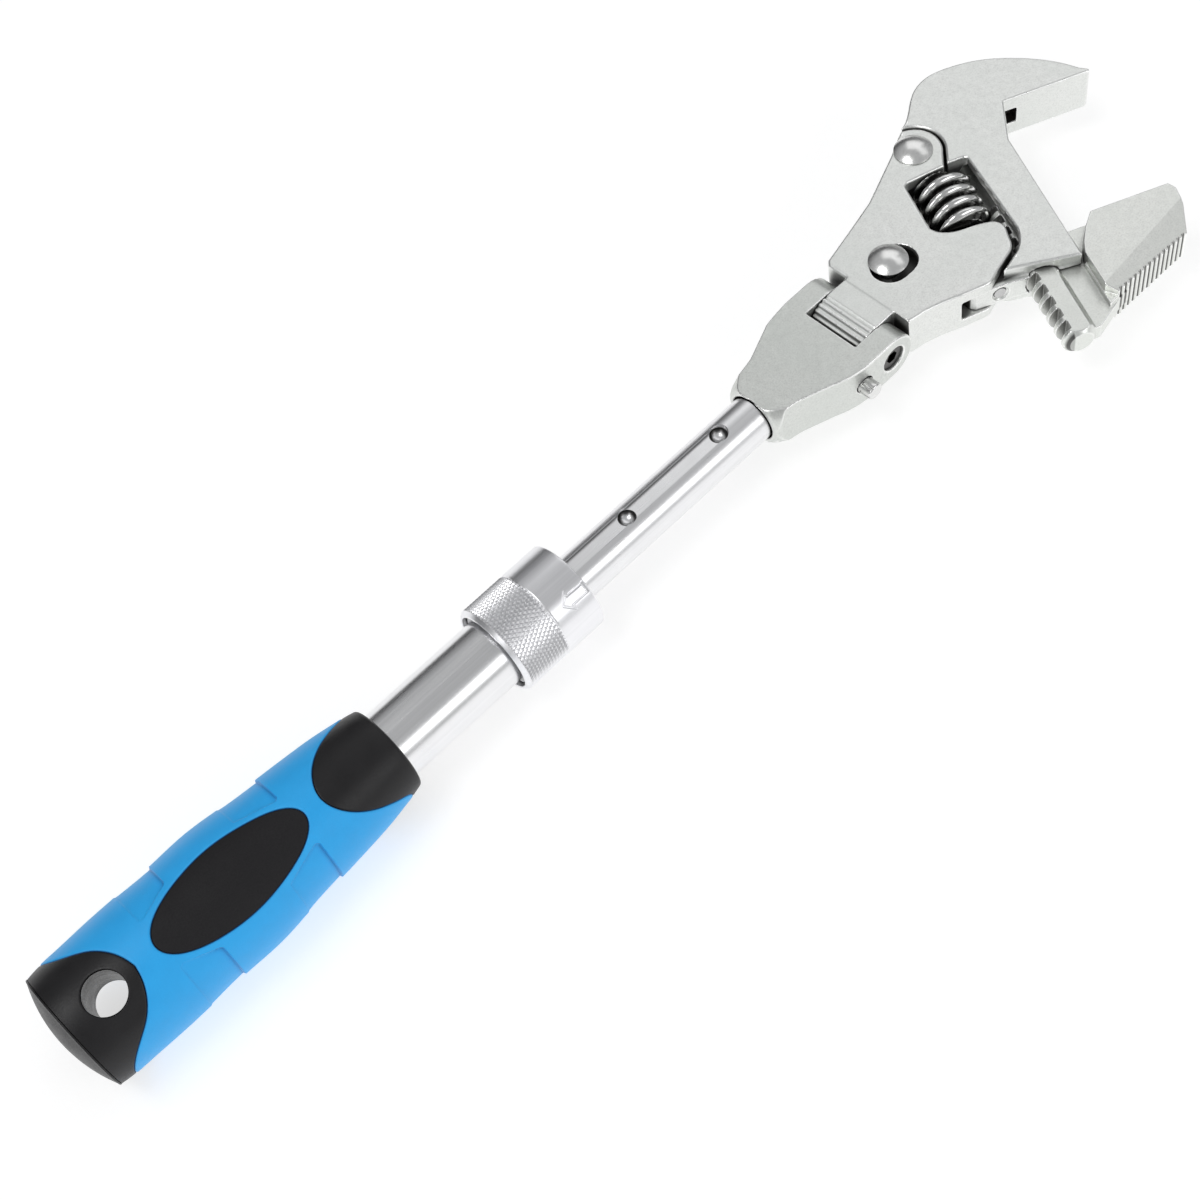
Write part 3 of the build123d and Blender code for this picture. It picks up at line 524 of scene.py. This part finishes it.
def grip_mesh():
    phi = np.linspace(0, 90, 121)
    nose = np.stack([nose_x(phi), np.radians(phi) * R0], 1)[::-1]        # left side = towards the nose
    butt = np.stack([butt_x(phi), np.radians(phi) * R0], 1)              # left side = towards the butt
    al = np.linspace(0, math.pi, 181)
    pad = np.stack([PX + PA * np.cos(al), PB * np.sin(al)], 1)           # left side = inside
    be = np.linspace(0, math.pi, 97)

    def hole_line(rho):
        x = XH + rho * np.cos(be)
        y = rho * np.sin(be)
        return np.stack([x, np.arcsin(y / grip_r(x)) * R0], 1)

    pan1 = [(-169.4, SQ + 1), (-169.4, 7.4), (-170.1, 6.75), (-171.0, 6.95), (-179.5, 9.75), (-179.6, SQ + 1)]
    pan2 = [(-198.0, SQ + 1), (-198.0, 9.8), (-198.6, 9.1), (-206.0, 6.15), (-207.0, 6.5), (-207.4, SQ + 1)]

    def dens(poly, step):
        out = []
        for a, b in zip(poly[:-1], poly[1:]):
            a, b = np.array(a, float), np.array(b, float)
            k2 = max(1, int(round(np.linalg.norm(b - a) / step)))
            for i in range(k2):
                out.append(a + (b - a) * i / k2)
        out.append(np.array(poly[-1], float))
        return np.array(out)

    def resamp(P, step):
        d = np.concatenate([[0], np.cumsum(np.linalg.norm(np.diff(P, axis=0), axis=1))])
        n = max(2, int(round(d[-1] / step)) + 1)
        q = np.linspace(0, d[-1], n)
        return np.stack([np.interp(q, d, P[:, 0]), np.interp(q, d, P[:, 1])], 1)

    lines = []
    OFFS = [-0.75, -0.5, -0.34, -0.2, -0.09, -0.02, 0.02, 0.08, 0.16, 0.28, 0.45]
    for o in OFFS:
        for c in (nose, butt, pad):
            q = offset_poly(c, o)
            lines.append(resamp(q, 0.34))
    for o in (0, 0.1, 0.25, 0.45, 0.7, 1.0, 1.35, 1.8):
        lines.append(resamp(hole_line(RH + o), 0.3))
    for pn in (pan1, pan2):
        for o in (-0.22, -0.05, 0.12, 0.3, 0.6):
            lines.append(resamp(offset_poly(dens(pn, 0.3), o), 0.3))
    # clip lines to the domain
    pts, edges = [], []

    def add_line(L):
        prev = None
        for p in L:
            inside = XA + 0.05 < p[0] < XB - 0.05 and -1e-9 <= p[1] <= SQ + 1e-9
            if not inside:
                prev = None
                continue
            y = 0.0 if p[1] < 0.04 else (SQ if p[1] > SQ - 0.04 else p[1])
            pts.append((p[0], y))
            if prev is not None:
                edges.append((prev, len(pts) - 1))
            prev = len(pts) - 1
    for L in lines:
        # make both ends meet the border exactly where they should
        L = np.array(L)
        for e in (0, -1):
            if L[e, 1] < 0.12:
                L[e, 1] = 0.0
            if abs(L[e, 1] - SQ) < 0.12:
                L[e, 1] = SQ
        add_line(L)
    nl = len(pts)
    # background points
    P0 = np.array(pts)
    cell = {}
    for p in P0:
        cell.setdefault((int(p[0] // 0.3), int(p[1] // 0.3)), []).append(p)

    def near(x, y, lim):
        cx, cy = int(x // 0.3), int(y // 0.3)
        for i in (-1, 0, 1):
            for j in (-1, 0, 1):
                for p in cell.get((cx + i, cy + j), ()):
                    if (p[0] - x) ** 2 + (p[1] - y) ** 2 < lim * lim:
                        return True
        return False
    step = 0.46
    nx = int(round((XB - XA) / step)); ny = int(round(SQ / (step * 0.866)))
    for j in range(ny + 1):
        y = SQ * j / ny
        for i in range(nx + 1):
            x = XA + (XB - XA) * (i + (0.5 if j % 2 and 0 < i < nx else 0)) / nx
            if x > XB:
                continue
            if i in (0, nx) or not near(x, y, 0.19):
                pts.append((x, y))
    # border rows, so that the outline of the patch is exact
    res = geometry.delaunay_2d_cdt([Vector(p) for p in pts], edges, [], 0, 1e-5)
    V = np.array([(v[0], v[1]) for v in res[0]])
    F = [list(f) for f in res[2]]
    # keep what is outside the hole
    hl = hole_line(RH)
    inside_hole = -sdist(V, hl)      # the line runs from +x over the top to -x: its left side is inside
    dh = sdist(V, hl)
    cen = V[np.array(F)].mean(1)
    sc = sdist(cen, hl)
    F = [f for f, c in zip(F, sc) if c < 0]
    hd = -dh                         # distance outside the hole's edge
    hd[np.abs(hd) < 1e-3] = 0
    dn, db, dp = sdist(V, nose), sdist(V, butt), sdist(V, pad)
    dk = np.maximum(np.maximum(dn, db), dp)

    def closed_side(pn):
        q = np.array(pn)
        return sdist(V, dens(pn, 3.0))
    d1, d2 = closed_side(pan1), closed_side(pan2)

    return V, F, dn, db, dp, dk, hd, d1, d2


V2, F2, dn, db_, dp, dk, hd, d1, d2 = grip_mesh()
# make the panel's inside positive whichever way the line runs
_i1 = int(np.argmin((V2[:, 0] + 174.5) ** 2 + (V2[:, 1] - 16) ** 2)); _i2 = int(np.argmin((V2[:, 0] + 202.5) ** 2 + (V2[:, 1] - 16) ** 2))
d1 = d1 * (1 if d1[_i1] > 0 else -1); d2 = d2 * (1 if d2[_i2] > 0 else -1)
xq, sq = V2[:, 0], V2[:, 1]
rq = grip_r(xq)
in1 = smoothstep(-0.10, 0.16, d1); in2 = smoothstep(-0.10, 0.16, d2)
t1 = np.clip((-169.4 - xq) / 10.1, 0, 1); t2 = np.clip((-198.0 - xq) / 9.3, 0, 1)
lift1 = 0.62 - 0.42 * t1; lift2 = 0.60 - 0.40 * t2
fade = smoothstep(5.6, 9.0, sq)
panel = in1 * lift1 * (0.45 + 0.55 * fade) + in2 * lift2 * (0.45 + 0.55 * fade)


def quarter_drop(t, r):
    t = np.clip(t, 0, r)
    return r - np.sqrt(np.maximum(r * r - (r - t) ** 2, 0))


blue_d = -dk - 0.02
r_blue = rq - panel - quarter_drop(blue_d, 0.5)
blk_d = dk - 0.02
r_top = rq - 0.10 - quarter_drop(blk_d, 0.35) - quarter_drop(hd, 0.35) * (hd < 0.35)
r_black = np.where(dk >= 0.019, r_top, rq - 1.95)
r_black = np.where(dk < 0.019, rq - 1.95, r_black)


def to3(x, s, r, mirror):
    """quarter patch -> one of the four quarters"""
    phi = s / R0
    phi = {0: phi, 1: -phi, 2: math.pi - phi, 3: math.pi + phi}[mirror]
    a = phi + ROLL
    return np.stack([x, -r * np.sin(a), r * np.cos(a)], 1)


def merge(verts, faces, eps=2e-4):
    key = {}
    idx = []
    out = []
    for v in verts:
        k3 = (round(v[0] / eps), round(v[1] / eps), round(v[2] / eps))
        hit = None
        for dx in (0, -1, 1):
            for dy in (0, -1, 1):
                for dz in (0, -1, 1):
                    q = key.get((k3[0] + dx, k3[1] + dy, k3[2] + dz))
                    if q is not None:
                        hit = q
                        break
                if hit is not None:
                    break
            if hit is not None:
                break
        if hit is None:
            hit = len(out)
            key[k3] = hit
            out.append(v)
        idx.append(hit)
    fs = []
    for f in faces:
        g = [idx[i] for i in f]
        h = [q for n2, q in enumerate(g) if q != g[n2 - 1]]
        if len(set(h)) > 2:
            fs.append(h)
    return out, fs


def boundary_loops(faces):
    """directed boundary edges chained into loops"""
    seen = {}
    for f in faces:
        for a, b in zip(f, f[1:] + f[:1]):
            seen[(a, b)] = seen.get((a, b), 0) + 1
    nxt = {a: b for (a, b) in seen if (b, a) not in seen}
    loops = []
    while nxt:
        s = next(iter(nxt))
        L = [s]
        c = nxt.pop(s)
        while c != s and c in nxt:
            L.append(c)
            c = nxt.pop(c)
        loops.append(L)
    return loops


def four(faces_q, rfun_vals):
    vs, fs = [], []
    n = len(V2)
    for m in range(4):
        P = to3(V2[:, 0], V2[:, 1], rfun_vals, m)
        vs += P.tolist()
        for f in faces_q:
            g = [i + m * n for i in f]
            fs.append(g if m in (0, 3) else g[::-1])
    used = sorted(set(i for f in fs for i in f))
    remap = {o: i for i, o in enumerate(used)}
    return merge([vs[i] for i in used], [[remap[i] for i in f] for f in fs])


# outward winding of the quarter: x cross s must face outwards
faces_q = []
for f in F2:
    a, b, c = V2[f[0]], V2[f[1]], V2[f[2]]
    area2 = (b[0] - a[0]) * (c[1] - a[1]) - (b[1] - a[1]) * (c[0] - a[0])
    faces_q.append(list(f) if area2 < 0 else list(f)[::-1])

# blue skin: closed shell
fb = [f for f in faces_q if max(dk[i] for i in f) <= -0.019]
vb, fbm = four(fb, r_blue)
rad = np.hypot([v[1] for v in vb], [v[2] for v in vb])
nb = len(vb)
inner = [(v[0], v[1] * (grip_r(v[0]) - 1.9) / q, v[2] * (grip_r(v[0]) - 1.9) / q) for v, q in zip(vb, rad)]
mid = [(v[0], v[1] * (q - 0.5) / q, v[2] * (q - 0.5) / q) for v, q in zip(vb, rad)]
allv = list(vb) + inner
allf = list(fbm) + [[i + nb for i in f[::-1]] for f in fbm]
for L in boundary_loops(fbm):
    for i in range(len(L)):
        a, b = L[i], L[(i + 1) % len(L)]
        allf.append([b, a, a + nb, b + nb])
ob_blue = build("grip_soft_skin", allv, allf, "handle", M_BLUE, ["grip_overmould"], 50)

# black core: one closed solid with the hang hole through it
vk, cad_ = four(faces_q, r_black)
vk = [tuple(v) for v in vk]
loops = boundary_loops(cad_)


def add_ring(loop, fn):
    """extend a boundary loop by a new ring; returns the new loop"""
    new = []
    for i in loop:
        vk.append(fn(vk[i]))
        new.append(len(vk) - 1)
    for i in range(len(loop)):
        a, b = loop[i], loop[(i + 1) % len(loop)]
        c, d = new[i], new[(i + 1) % len(loop)]
        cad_.append([b, a, c, d])
    return new


def at_xr(x, r):
    def f(v):
        q = math.hypot(v[1], v[2])
        return (x, v[1] * r / q, v[2] * r / q)
    return f


holes = []
for L in loops:
    xs_ = [vk[i][0] for i in L]
    if min(xs_) > XB - 0.01:
        cur = L
        for x, r in arc_profile([(XB, float(grip_r(XB)) - 0.1), (-143.35, 10.75, 0.9), (-143.0, 9.55, 0.5), (-143.0, 8.72, 0.15), (-143.6, 8.62), (-212.9, 8.62)])[1:]:
            cur = add_ring(cur, at_xr(x, r))
        vk.append((-212.9, 0, 0))
        for i in range(len(cur)):
            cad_.append([cur[(i + 1) % len(cur)], cur[i], len(vk) - 1])
    elif max(xs_) < XA + 0.01:
        cur = L
        for x, r in [(-231.02, 14.45), (-231.02, 7.6)]:
            cur = add_ring(cur, at_xr(x, r))
        vk.append((-231.02, 0, 0))
        for i in range(len(cur)):
            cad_.append([cur[(i + 1) % len(cur)], cur[i], len(vk) - 1])
    else:
        holes.append(L)
# tunnel between the two hole outlines: match by angle round the hole's axis
HX = np.array([0, -math.sin(ROLL), math.cos(ROLL)]); HY = np.array([0, math.cos(ROLL), math.sin(ROLL)])


def hole_ang(i):
    v = np.array(vk[i])
    return math.atan2(float(v @ HY), v[0] - XH)


if len(holes) == 2:
    front_l, back_l = sorted(holes, key=lambda L: -float(np.mean([np.array(vk[i]) @ HX for i in L])))
    cur = front_l
    steps = 26
    back_by = {round(hole_ang(i), 3): i for i in back_l}
    zf = {i: float(np.array(vk[i]) @ HX) for i in front_l}
    ang = {i: hole_ang(i) for i in front_l}
    prev = list(front_l)
    order = list(front_l)
    for k2 in range(1, steps):
        new = []
        for src in order:
            z = zf[src] * (1 - 2 * k2 / steps)
            p = np.array([XH + RH * math.cos(ang[src]), 0, 0]) + HY * RH * math.sin(ang[src]) + HX * z
            vk.append(tuple(p))
            new.append(len(vk) - 1)
        for i in range(len(order)):
            a, b = prev[i], prev[(i + 1) % len(order)]
            c, d = new[i], new[(i + 1) % len(order)]
            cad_.append([b, a, c, d])
        prev = new
    last = []
    for src in order:
        best = min(back_l, key=lambda j: abs(math.remainder(hole_ang(j) - ang[src], 2 * math.pi)))
        last.append(best)
    for i in range(len(order)):
        a, b = prev[i], prev[(i + 1) % len(order)]
        c, d = last[i], last[(i + 1) % len(order)]
        g = []
        for q in (b, a, c, d):
            if q not in g:
                g.append(q)
        if len(g) > 2:
            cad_.append(g)
ob_core = build("grip_core_black", vk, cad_, "handle", M_BLACK, ["grip_core"], 50)
# the oval pads are finer and duller than the rest of the core
ob_core.data.materials.append(M_PAD)
# hang hole's wall: a darker, less glossy copy of the black plastic, which is painted shade inside the hole
M_HOLE_SHADE = plastic("grip_hole_painted_shade", (0.0030, 0.0028, 0.0032), (0.0022, 0.0020, 0.0024), 0.30, 0.20)
M_HOLE_SHADE.node_tree.nodes["Principled BSDF"].inputs["Specular IOR Level"].default_value = 0.10
ob_core.data.materials.append(M_HOLE_SHADE)
cc = np.array([vk[i] for i in range(len(vk))])
for pl in ob_core.data.polygons:
    c = cc[list(pl.vertices)].mean(0)
    if -208.2 < c[0] < -167.4 and math.hypot(c[1], c[2]) > float(grip_r(c[0])) - 1.2:
        pl.material_index = 1
    elif math.hypot(c[0] - XH, float(c @ HY)) < RH + 0.12:
        pl.material_index = 2

# end cap: domed, with a fine parting line
RC = (14.62 ** 2 + 3.2 ** 2) / (2 * 3.2)
dome_pts = []
for q in range(0, 25):
    r = 14.2 * (1 - q / 24)
    dome_pts.append((-234.6 + RC - math.sqrt(RC * RC - r * r), r))
capp = [(-230.6, 0), (-230.6, 7.5), (-231.12, 7.5), (-231.12, 14.1)] + arc_profile([(-231.12, 14.1), (-231.12, 14.62, 0.12), (-231.55, 14.62, 0.35), (dome_pts[0][0], dome_pts[0][1])])[1:] + dome_pts[1:]
v, f = lathe(capp, 200)
build("grip_end_cap", v, f, "handle", M_BLACK, ["end_cap"], 50)

# ------------------------------------------------------------------ lock collar with knurl and arrow
ARROW = [(-88.75, 37.1), (-93.1, 37.4), (-93.1, 31.5), (-95.3, 43.4), (-93.1, 55.3), (-93.1, 49.4), (-88.75, 49.4), (-88.75, 37.1)]
NK = 66


def collar_mesh():
    xs = np.concatenate([np.linspace(-110.6, -98.9, 108), np.linspace(-98.8, -88.8, 104)])
    nt = 66 * 12
    th = np.arange(nt) * 2 * math.pi / nt
    X, T = np.meshgrid(xs, th, indexing="ij")
    Rr = np.full_like(X, 11.5)
    # diamond knurl: two sets of fine grooves
    pitch = 2 * math.pi * 11.5 / NK
    kx = 1.0 / (pitch / math.tan(math.radians(32)))
    a = T * NK / (2 * math.pi) + (X + 110.6) * kx
    b = T * NK / (2 * math.pi) - (X + 110.6) * kx
    tri = lambda q: np.abs(2 * (q - np.floor(q)) - 1)
    g = np.minimum(np.clip(tri(a) * 1.35, 0, 1), np.clip(tri(b) * 1.35, 0, 1))
    zone = smoothstep(-110.6, -110.3, X) * (1 - smoothstep(-99.1, -98.8, X))
    Rr = Rr - 0.33 * (1 - g) * zone
    # a shallow turned line where the knurl ends
    Rr = Rr - 0.10 * np.exp(-((X + 98.72) / 0.14) ** 2)
    # arrow outline
    S_ = T * 11.5
    P = np.stack([X.ravel(), S_.ravel()], 1)
    m = (P[:, 0] > -97) & (P[:, 1] > math.radians(24) * 11.5) & (P[:, 1] < math.radians(62) * 11.5)
    dist = np.full(len(P), 9.0)
    for (x0, a0), (x1, a1) in zip(ARROW[:-1], ARROW[1:]):
        p0 = np.array([x0, math.radians(a0) * 11.5]); p1 = np.array([x1, math.radians(a1) * 11.5])
        d = p1 - p0
        t_ = np.clip(((P[m] - p0) @ d) / (d @ d), 0, 1)
        q = P[m] - (p0 + t_[:, None] * d)
        dist[m] = np.minimum(dist[m], np.hypot(q[:, 0], q[:, 1]))
    Rr = Rr - (0.20 * (1 - smoothstep(0.12, 0.34, dist))).reshape(Rr.shape)
    verts, faces = [], []
    rows = []

    def ring(x, r):
        st = len(verts)
        for a_ in th:
            verts.append((x, -r * math.sin(a_), r * math.cos(a_)))
        rows.append(list(range(st, st + nt)))
    for x, r in arc_profile([(-101.2, 8.68), (-101.2, 10.15), (-111.5, 10.15, 0.15), (-111.5, 10.75, 0.25), (-110.62, 11.45)])[:-1]:
        ring(x, r)
    for i in range(len(xs)):
        st = len(verts)
        for j in range(nt):
            r = Rr[i, j]
            verts.append((xs[i], -r * math.sin(th[j]), r * math.cos(th[j])))
        rows.append(list(range(st, st + nt)))
    for x, r in arc_profile([(-88.8, 11.5), (-87.9, 11.5, 0.55), (-87.9, 6.1, 0.2), (-89.1, 6.1), (-89.1, 9.95), (-94.6, 9.95), (-98.9, 8.72)])[1:]:
        ring(x, r)
    m2 = len(rows)
    for j in range(m2):
        a_, b_ = rows[j], rows[(j + 1) % m2]
        for i in range(nt):
            k2 = (i + 1) % nt
            faces.append((a_[i], a_[k2], b_[k2], b_[i]))
    return verts, faces


v, f = collar_mesh()
f = [q[::-1] for q in f]
build("lock_collar_knurled", v, f, "collar", M_COLLAR, ["lock_collar"], 30)

# ------------------------------------------------------------------ castings: softened edges
def casting(name, nodename, mat, body, voxel=0.24, smooth=4):
    src = N[nodename]
    ob = bpy.data.objects.new(name, src.data.copy())
    bpy.context.scene.collection.objects.link(ob)
    w_ = ob.modifiers.new("weld", "WELD")
    w_.merge_threshold = 0.000005
    r_ = ob.modifiers.new("skin", "REMESH")
    r_.mode = "VOXEL"
    r_.voxel_size = voxel / 1000
    r_.adaptivity = 0.0
    s_ = ob.modifiers.new("soft", "SMOOTH")
    s_.factor = 0.5
    s_.iterations = smooth
    bpy.context.view_layer.update()
    dg = bpy.context.evaluated_depsgraph_get()
    me = bpy.data.meshes.new_from_object(ob.evaluated_get(dg), depsgraph=dg)
    bpy.data.objects.remove(ob)
    me.name = name
    me.materials.clear()
    me.materials.append(mat)
    me.shade_smooth()
    o2 = bpy.data.objects.new(name, me)
    bpy.context.scene.collection.objects.link(o2)
    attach(o2, body)
    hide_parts(nodename)
    return o2


casting("yoke_casting", "yoke", M_YOKE, "shank")
casting("head_casting", "head_body", M_CAST, "head")
casting("jaw_casting", "jaw_body", M_CAST2, "swing")
casting("lower_jaw_casting", "movable_jaw", M_CAST3, "lower_jaw", 0.16, 2)

# ------------------------------------------------------------------ worm: rounded single-start ridge
def worm_mesh():
    u0, v0, v1 = 42.5, 17.6, 33.9
    rc, ro, lead, vg = 5.25, 7.84, 4.0, 24.0
    nt, nv = 144, 260
    th = np.arange(nt) * 2 * math.pi / nt
    vs = np.linspace(v0, v1, nv)
    Vv, T = np.meshgrid(vs, th, indexing="ij")
    ph = (Vv - vg - lead * T / (2 * math.pi)) / lead
    ph = ph - np.round(ph)
    w = np.abs(ph) * lead
    # crest half width 0.35, flank to 1.16, rounded
    prof = np.where(w < 1.22, np.sqrt(np.maximum(1 - (w / 1.36) ** 2, 0)), 0.0)
    prof = np.maximum(prof, 0.40 * (1 - smoothstep(1.15, 1.62, w)))
    rr = rc + (ro - rc) * prof
    end = np.minimum(Vv - v0, v1 - Vv)
    rr = np.minimum(rr, 6.6 + 1.4 * np.clip(end / 1.0, 0, 1) ** 0.6 * 1.2)
    rr = np.minimum(rr, ro)
    o = uv(u0, 0)
    e1 = np.array([CJ, -SJ, 0]); e2 = np.array([0, 0, -1.0]); e3 = np.array([SJ, CJ, 0])
    e2 = np.cross(e3, e1)
    base = np.array([o[0], o[1], 0])
    verts, rows = [], []

    def ring(r, vv):
        st = len(verts)
        for j in range(nt):
            q = r[j] if hasattr(r, "__len__") else r
            p = base + e3 * vv + e1 * q * math.cos(th[j]) + e2 * q * math.sin(th[j])
            verts.append(tuple(p))
        rows.append(list(range(st, st + nt)))
    ring(1.58, v0); ring(1.7, v0 - 0.0)
    for i in range(nv):
        ring(rr[i], vs[i])
    ring(2.75, v1); ring(2.6, v1 - 0.12); ring(2.6, v1 - 4.0); ring(1.58, v1 - 4.0)
    faces = []
    m2 = len(rows)
    for j in range(m2):
        a_, b_ = rows[j], rows[(j + 1) % m2]
        for i in range(nt):
            k2 = (i + 1) % nt
            faces.append((a_[i], a_[k2], b_[k2], b_[i]))
    return verts, faces


v, f = worm_mesh()
build("worm_thumb", v, f, "worm_gear", M_WORM, ["worm"], 35)


# ------------------------------------------------------------------ dome-headed rivet and stud
def dome_head(cx, cy, z0, sgn, r=4.9, h=2.0, edge=0.35, n=96, hole=None):
    R_ = (r * r + (h - edge) ** 2) / (2 * (h - edge))
    pr = [(0.0, z0 - 0.0), (r - 0.1, z0), (r, z0 + 0.1), (r, z0 + edge - 0.12)]
    for q in range(0, 29):
        rr = (r - 0.02) * (1 - q / 28)
        pr.append((rr, z0 + edge + math.sqrt(R_ * R_ - rr * rr) - (R_ - (h - edge))))
    return pr


def zlathe(pr, cx, cy, sgn, n=96):
    """profile [(r, z)] about a z axis at (cx, cy); starts and ends on the axis"""
    verts, rings, faces = [], [], []
    for r, z in pr:
        if r < 1e-6:
            rings.append([len(verts)] * n)
            verts.append((cx, cy, sgn * z))
        else:
            st = len(verts)
            for i in range(n):
                a = 2 * math.pi * i / n
                verts.append((cx + r * math.cos(a), cy + r * math.sin(a), sgn * z))
            rings.append(list(range(st, st + n)))
    for j in range(len(rings) - 1):
        a, b = rings[j], rings[j + 1]
        for i in range(n):
            k2 = (i + 1) % n
            g = []
            for q in (a[i], a[k2], b[k2], b[i]):
                if q not in g:
                    g.append(q)
            if len(g) > 2:
                faces.append(g if sgn > 0 else g[::-1])
    return verts, faces


def join(*parts_):
    V_, F_ = [], []
    for v_, f_ in parts_:
        o = len(V_)
        V_ += list(v_)
        F_ += [[i + o for i in q] for q in f_]
    return V_, F_


def two_headed(cx, cy, zb, shank_r):
    """one closed solid: head, shank, head"""
    up = dome_head(cx, cy, zb, 1)[1:]
    dn_ = [(r, -z) for r, z in up][::-1]
    pr = dn_ + [(shank_r, -zb + 0.02), (shank_r, zb - 0.02)] + up
    # profile from the bottom dome's centre to the top dome's centre
    pr[0] = (0.0, pr[0][1]); pr[-1] = (0.0, pr[-1][1])
    return zlathe(pr, cx, cy, 1)


v, f = two_headed(54.6, 22.2, 6.4, 2.5)
build("pivot_rivet_domes", v, f, "head", M_BRIGHT, ["pivot_rivet"], 40)
v, f = two_headed(24.2, 3.4, 6.55, 2.45)
build("limit_stud_domes", v, f, "swing", M_BRIGHT, ["limit_stud"], 40)


# ------------------------------------------------------------------ springs: copies of the coil meshes, each riding on one body
def spring(name, nodename, body):
    src = N[nodename]
    me = src.data.copy()
    me.name = name
    me.materials.clear()
    me.materials.append(M_DARK)
    ob = bpy.data.objects.new(name, me)
    ob.matrix_world = src.matrix_world.copy()
    bpy.context.scene.collection.objects.link(ob)
    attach(ob, body)
    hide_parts(nodename)
    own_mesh(ob)
    return ob


spring("collar_spring_coil", "collar_spring", "handle")
spring("lock_pin_spring_coil", "lock_pin_spring", "shank")


# ------------------------------------------------------------------ floor, camera, lights
S = bpy.context.scene


def floor_mat():
    m, nt, b = new_mat("floor_paper")
    v = coords(nt)
    n1 = noise(nt, v, 900, 3, 0.6)
    col = ramp(nt, n1, [(0.3, (0.50, 0.50, 0.50)), (0.7, (0.53, 0.53, 0.53))])
    nt.links.new(col, b.inputs["Base Color"])
    nt.links.new(rng(nt, n1, 0.75, 0.9, 0.3, 0.7), b.inputs["Roughness"])
    nt.links.new(bump(nt, n1, 0.1, 0.00005), b.inputs["Normal"])
    b.inputs["Emission Color"].default_value = (1.0, 1.0, 1.0, 1)
    b.inputs["Emission Strength"].default_value = 0.64
    return m


fm = bpy.data.meshes.new("floor")
L = 3.0
fm.from_pydata([(-L, -L, 0), (L, -L, 0), (L, L, 0), (-L, L, 0)], [], [(0, 1, 2, 3)])
fm.materials.append(floor_mat())
floor = bpy.data.objects.new("floor", fm)
S.collection.objects.link(floor)
floor.location.z = -0.0004

# camera: pose worked out in the tool frame
rv = np.array([-0.5647981024463258, 0.08001363830102749, 0.7883130340516004])
th = float(np.linalg.norm(rv)); k = rv / th
KX = np.array([[0, -k[2], k[1]], [k[2], 0, -k[0]], [-k[1], k[0], 0]])
R = np.eye(3) + math.sin(th) * KX + (1 - math.cos(th)) * KX @ KX
t = np.array([56.20504522866491, 61.56557965996169, -483.5507797641214]) * 0.984
cpos = -(R.T @ t) * 0.001 + OFF
cd = bpy.data.cameras.new("camera")
cam = bpy.data.objects.new("camera", cd)
S.collection.objects.link(cam)
mw = Matrix.Identity(4)
for i in range(3):
    for j in range(3):
        mw[i][j] = R.T[i][j]
    mw[i][3] = cpos[i]
cam.matrix_world = mw
cd.sensor_fit = "HORIZONTAL"
cd.sensor_width = 36.0
cd.lens = 36.0 * 1991.7838601418099 / 1200.0
cd.clip_start = 0.01
cd.clip_end = 20
S.camera = cam


def area(name, loc, target, size, power, sy=None, color=(1, 1, 1)):
    l = bpy.data.lights.new(name, "AREA")
    l.shape = "RECTANGLE"
    l.size = size
    l.size_y = sy or size
    l.energy = power
    l.color = color
    o = bpy.data.objects.new(name, l)
    S.collection.objects.link(o)
    o.location = loc
    d = Vector(target) - Vector(loc)
    o.rotation_euler = d.to_track_quat("-Z", "Y").to_euler()
    return o


area("key", (0.82, 0.55, 0.90), (0.05, 0.0, 0.015), 0.90, 1.55, 0.90)
area("top", (-0.40, 0.10, 1.05), (-0.03, 0, 0.015), 0.55, 2.6, 0.35)
area("fill", (0.35, -0.95, 0.55), (0.02, 0, 0.015), 0.8, 2.0, 0.45)
area("slope", (0.81, -0.17, 0.94), (0.08, -0.02, 0.015), 0.5, 0.40, 0.5)
area("back", (-0.80, -0.15, 0.55), (-0.05, 0, 0.015), 0.4, 1.2)

# surroundings: bright overhead and towards the front, dark low down behind
w = bpy.data.worlds.new("studio")
w.use_nodes = True
S.world = w
wt = w.node_tree
bg = wt.nodes["Background"]
tc_ = wt.nodes.new("ShaderNodeTexCoord")
sp_ = wt.nodes.new("ShaderNodeSeparateXYZ")
wt.links.new(tc_.outputs["Generated"], sp_.inputs[0])
# low band towards +y: dark
yb = rng(wt, sp_.outputs["Y"], 0.0, 1.0, -0.15, 0.75)
zb_ = rng(wt, sp_.outputs["Z"], 1.0, 0.0, 0.22, 0.62)
dk_ = math_(wt, "MULTIPLY", yb, zb_)
col_ = mixc(wt, dk_, (0.98, 0.99, 1.0), (0.10, 0.10, 0.105))
wt.links.new(col_, bg.inputs["Color"])
bg.inputs["Strength"].default_value = 0.42
S.view_settings.view_transform = "Standard"
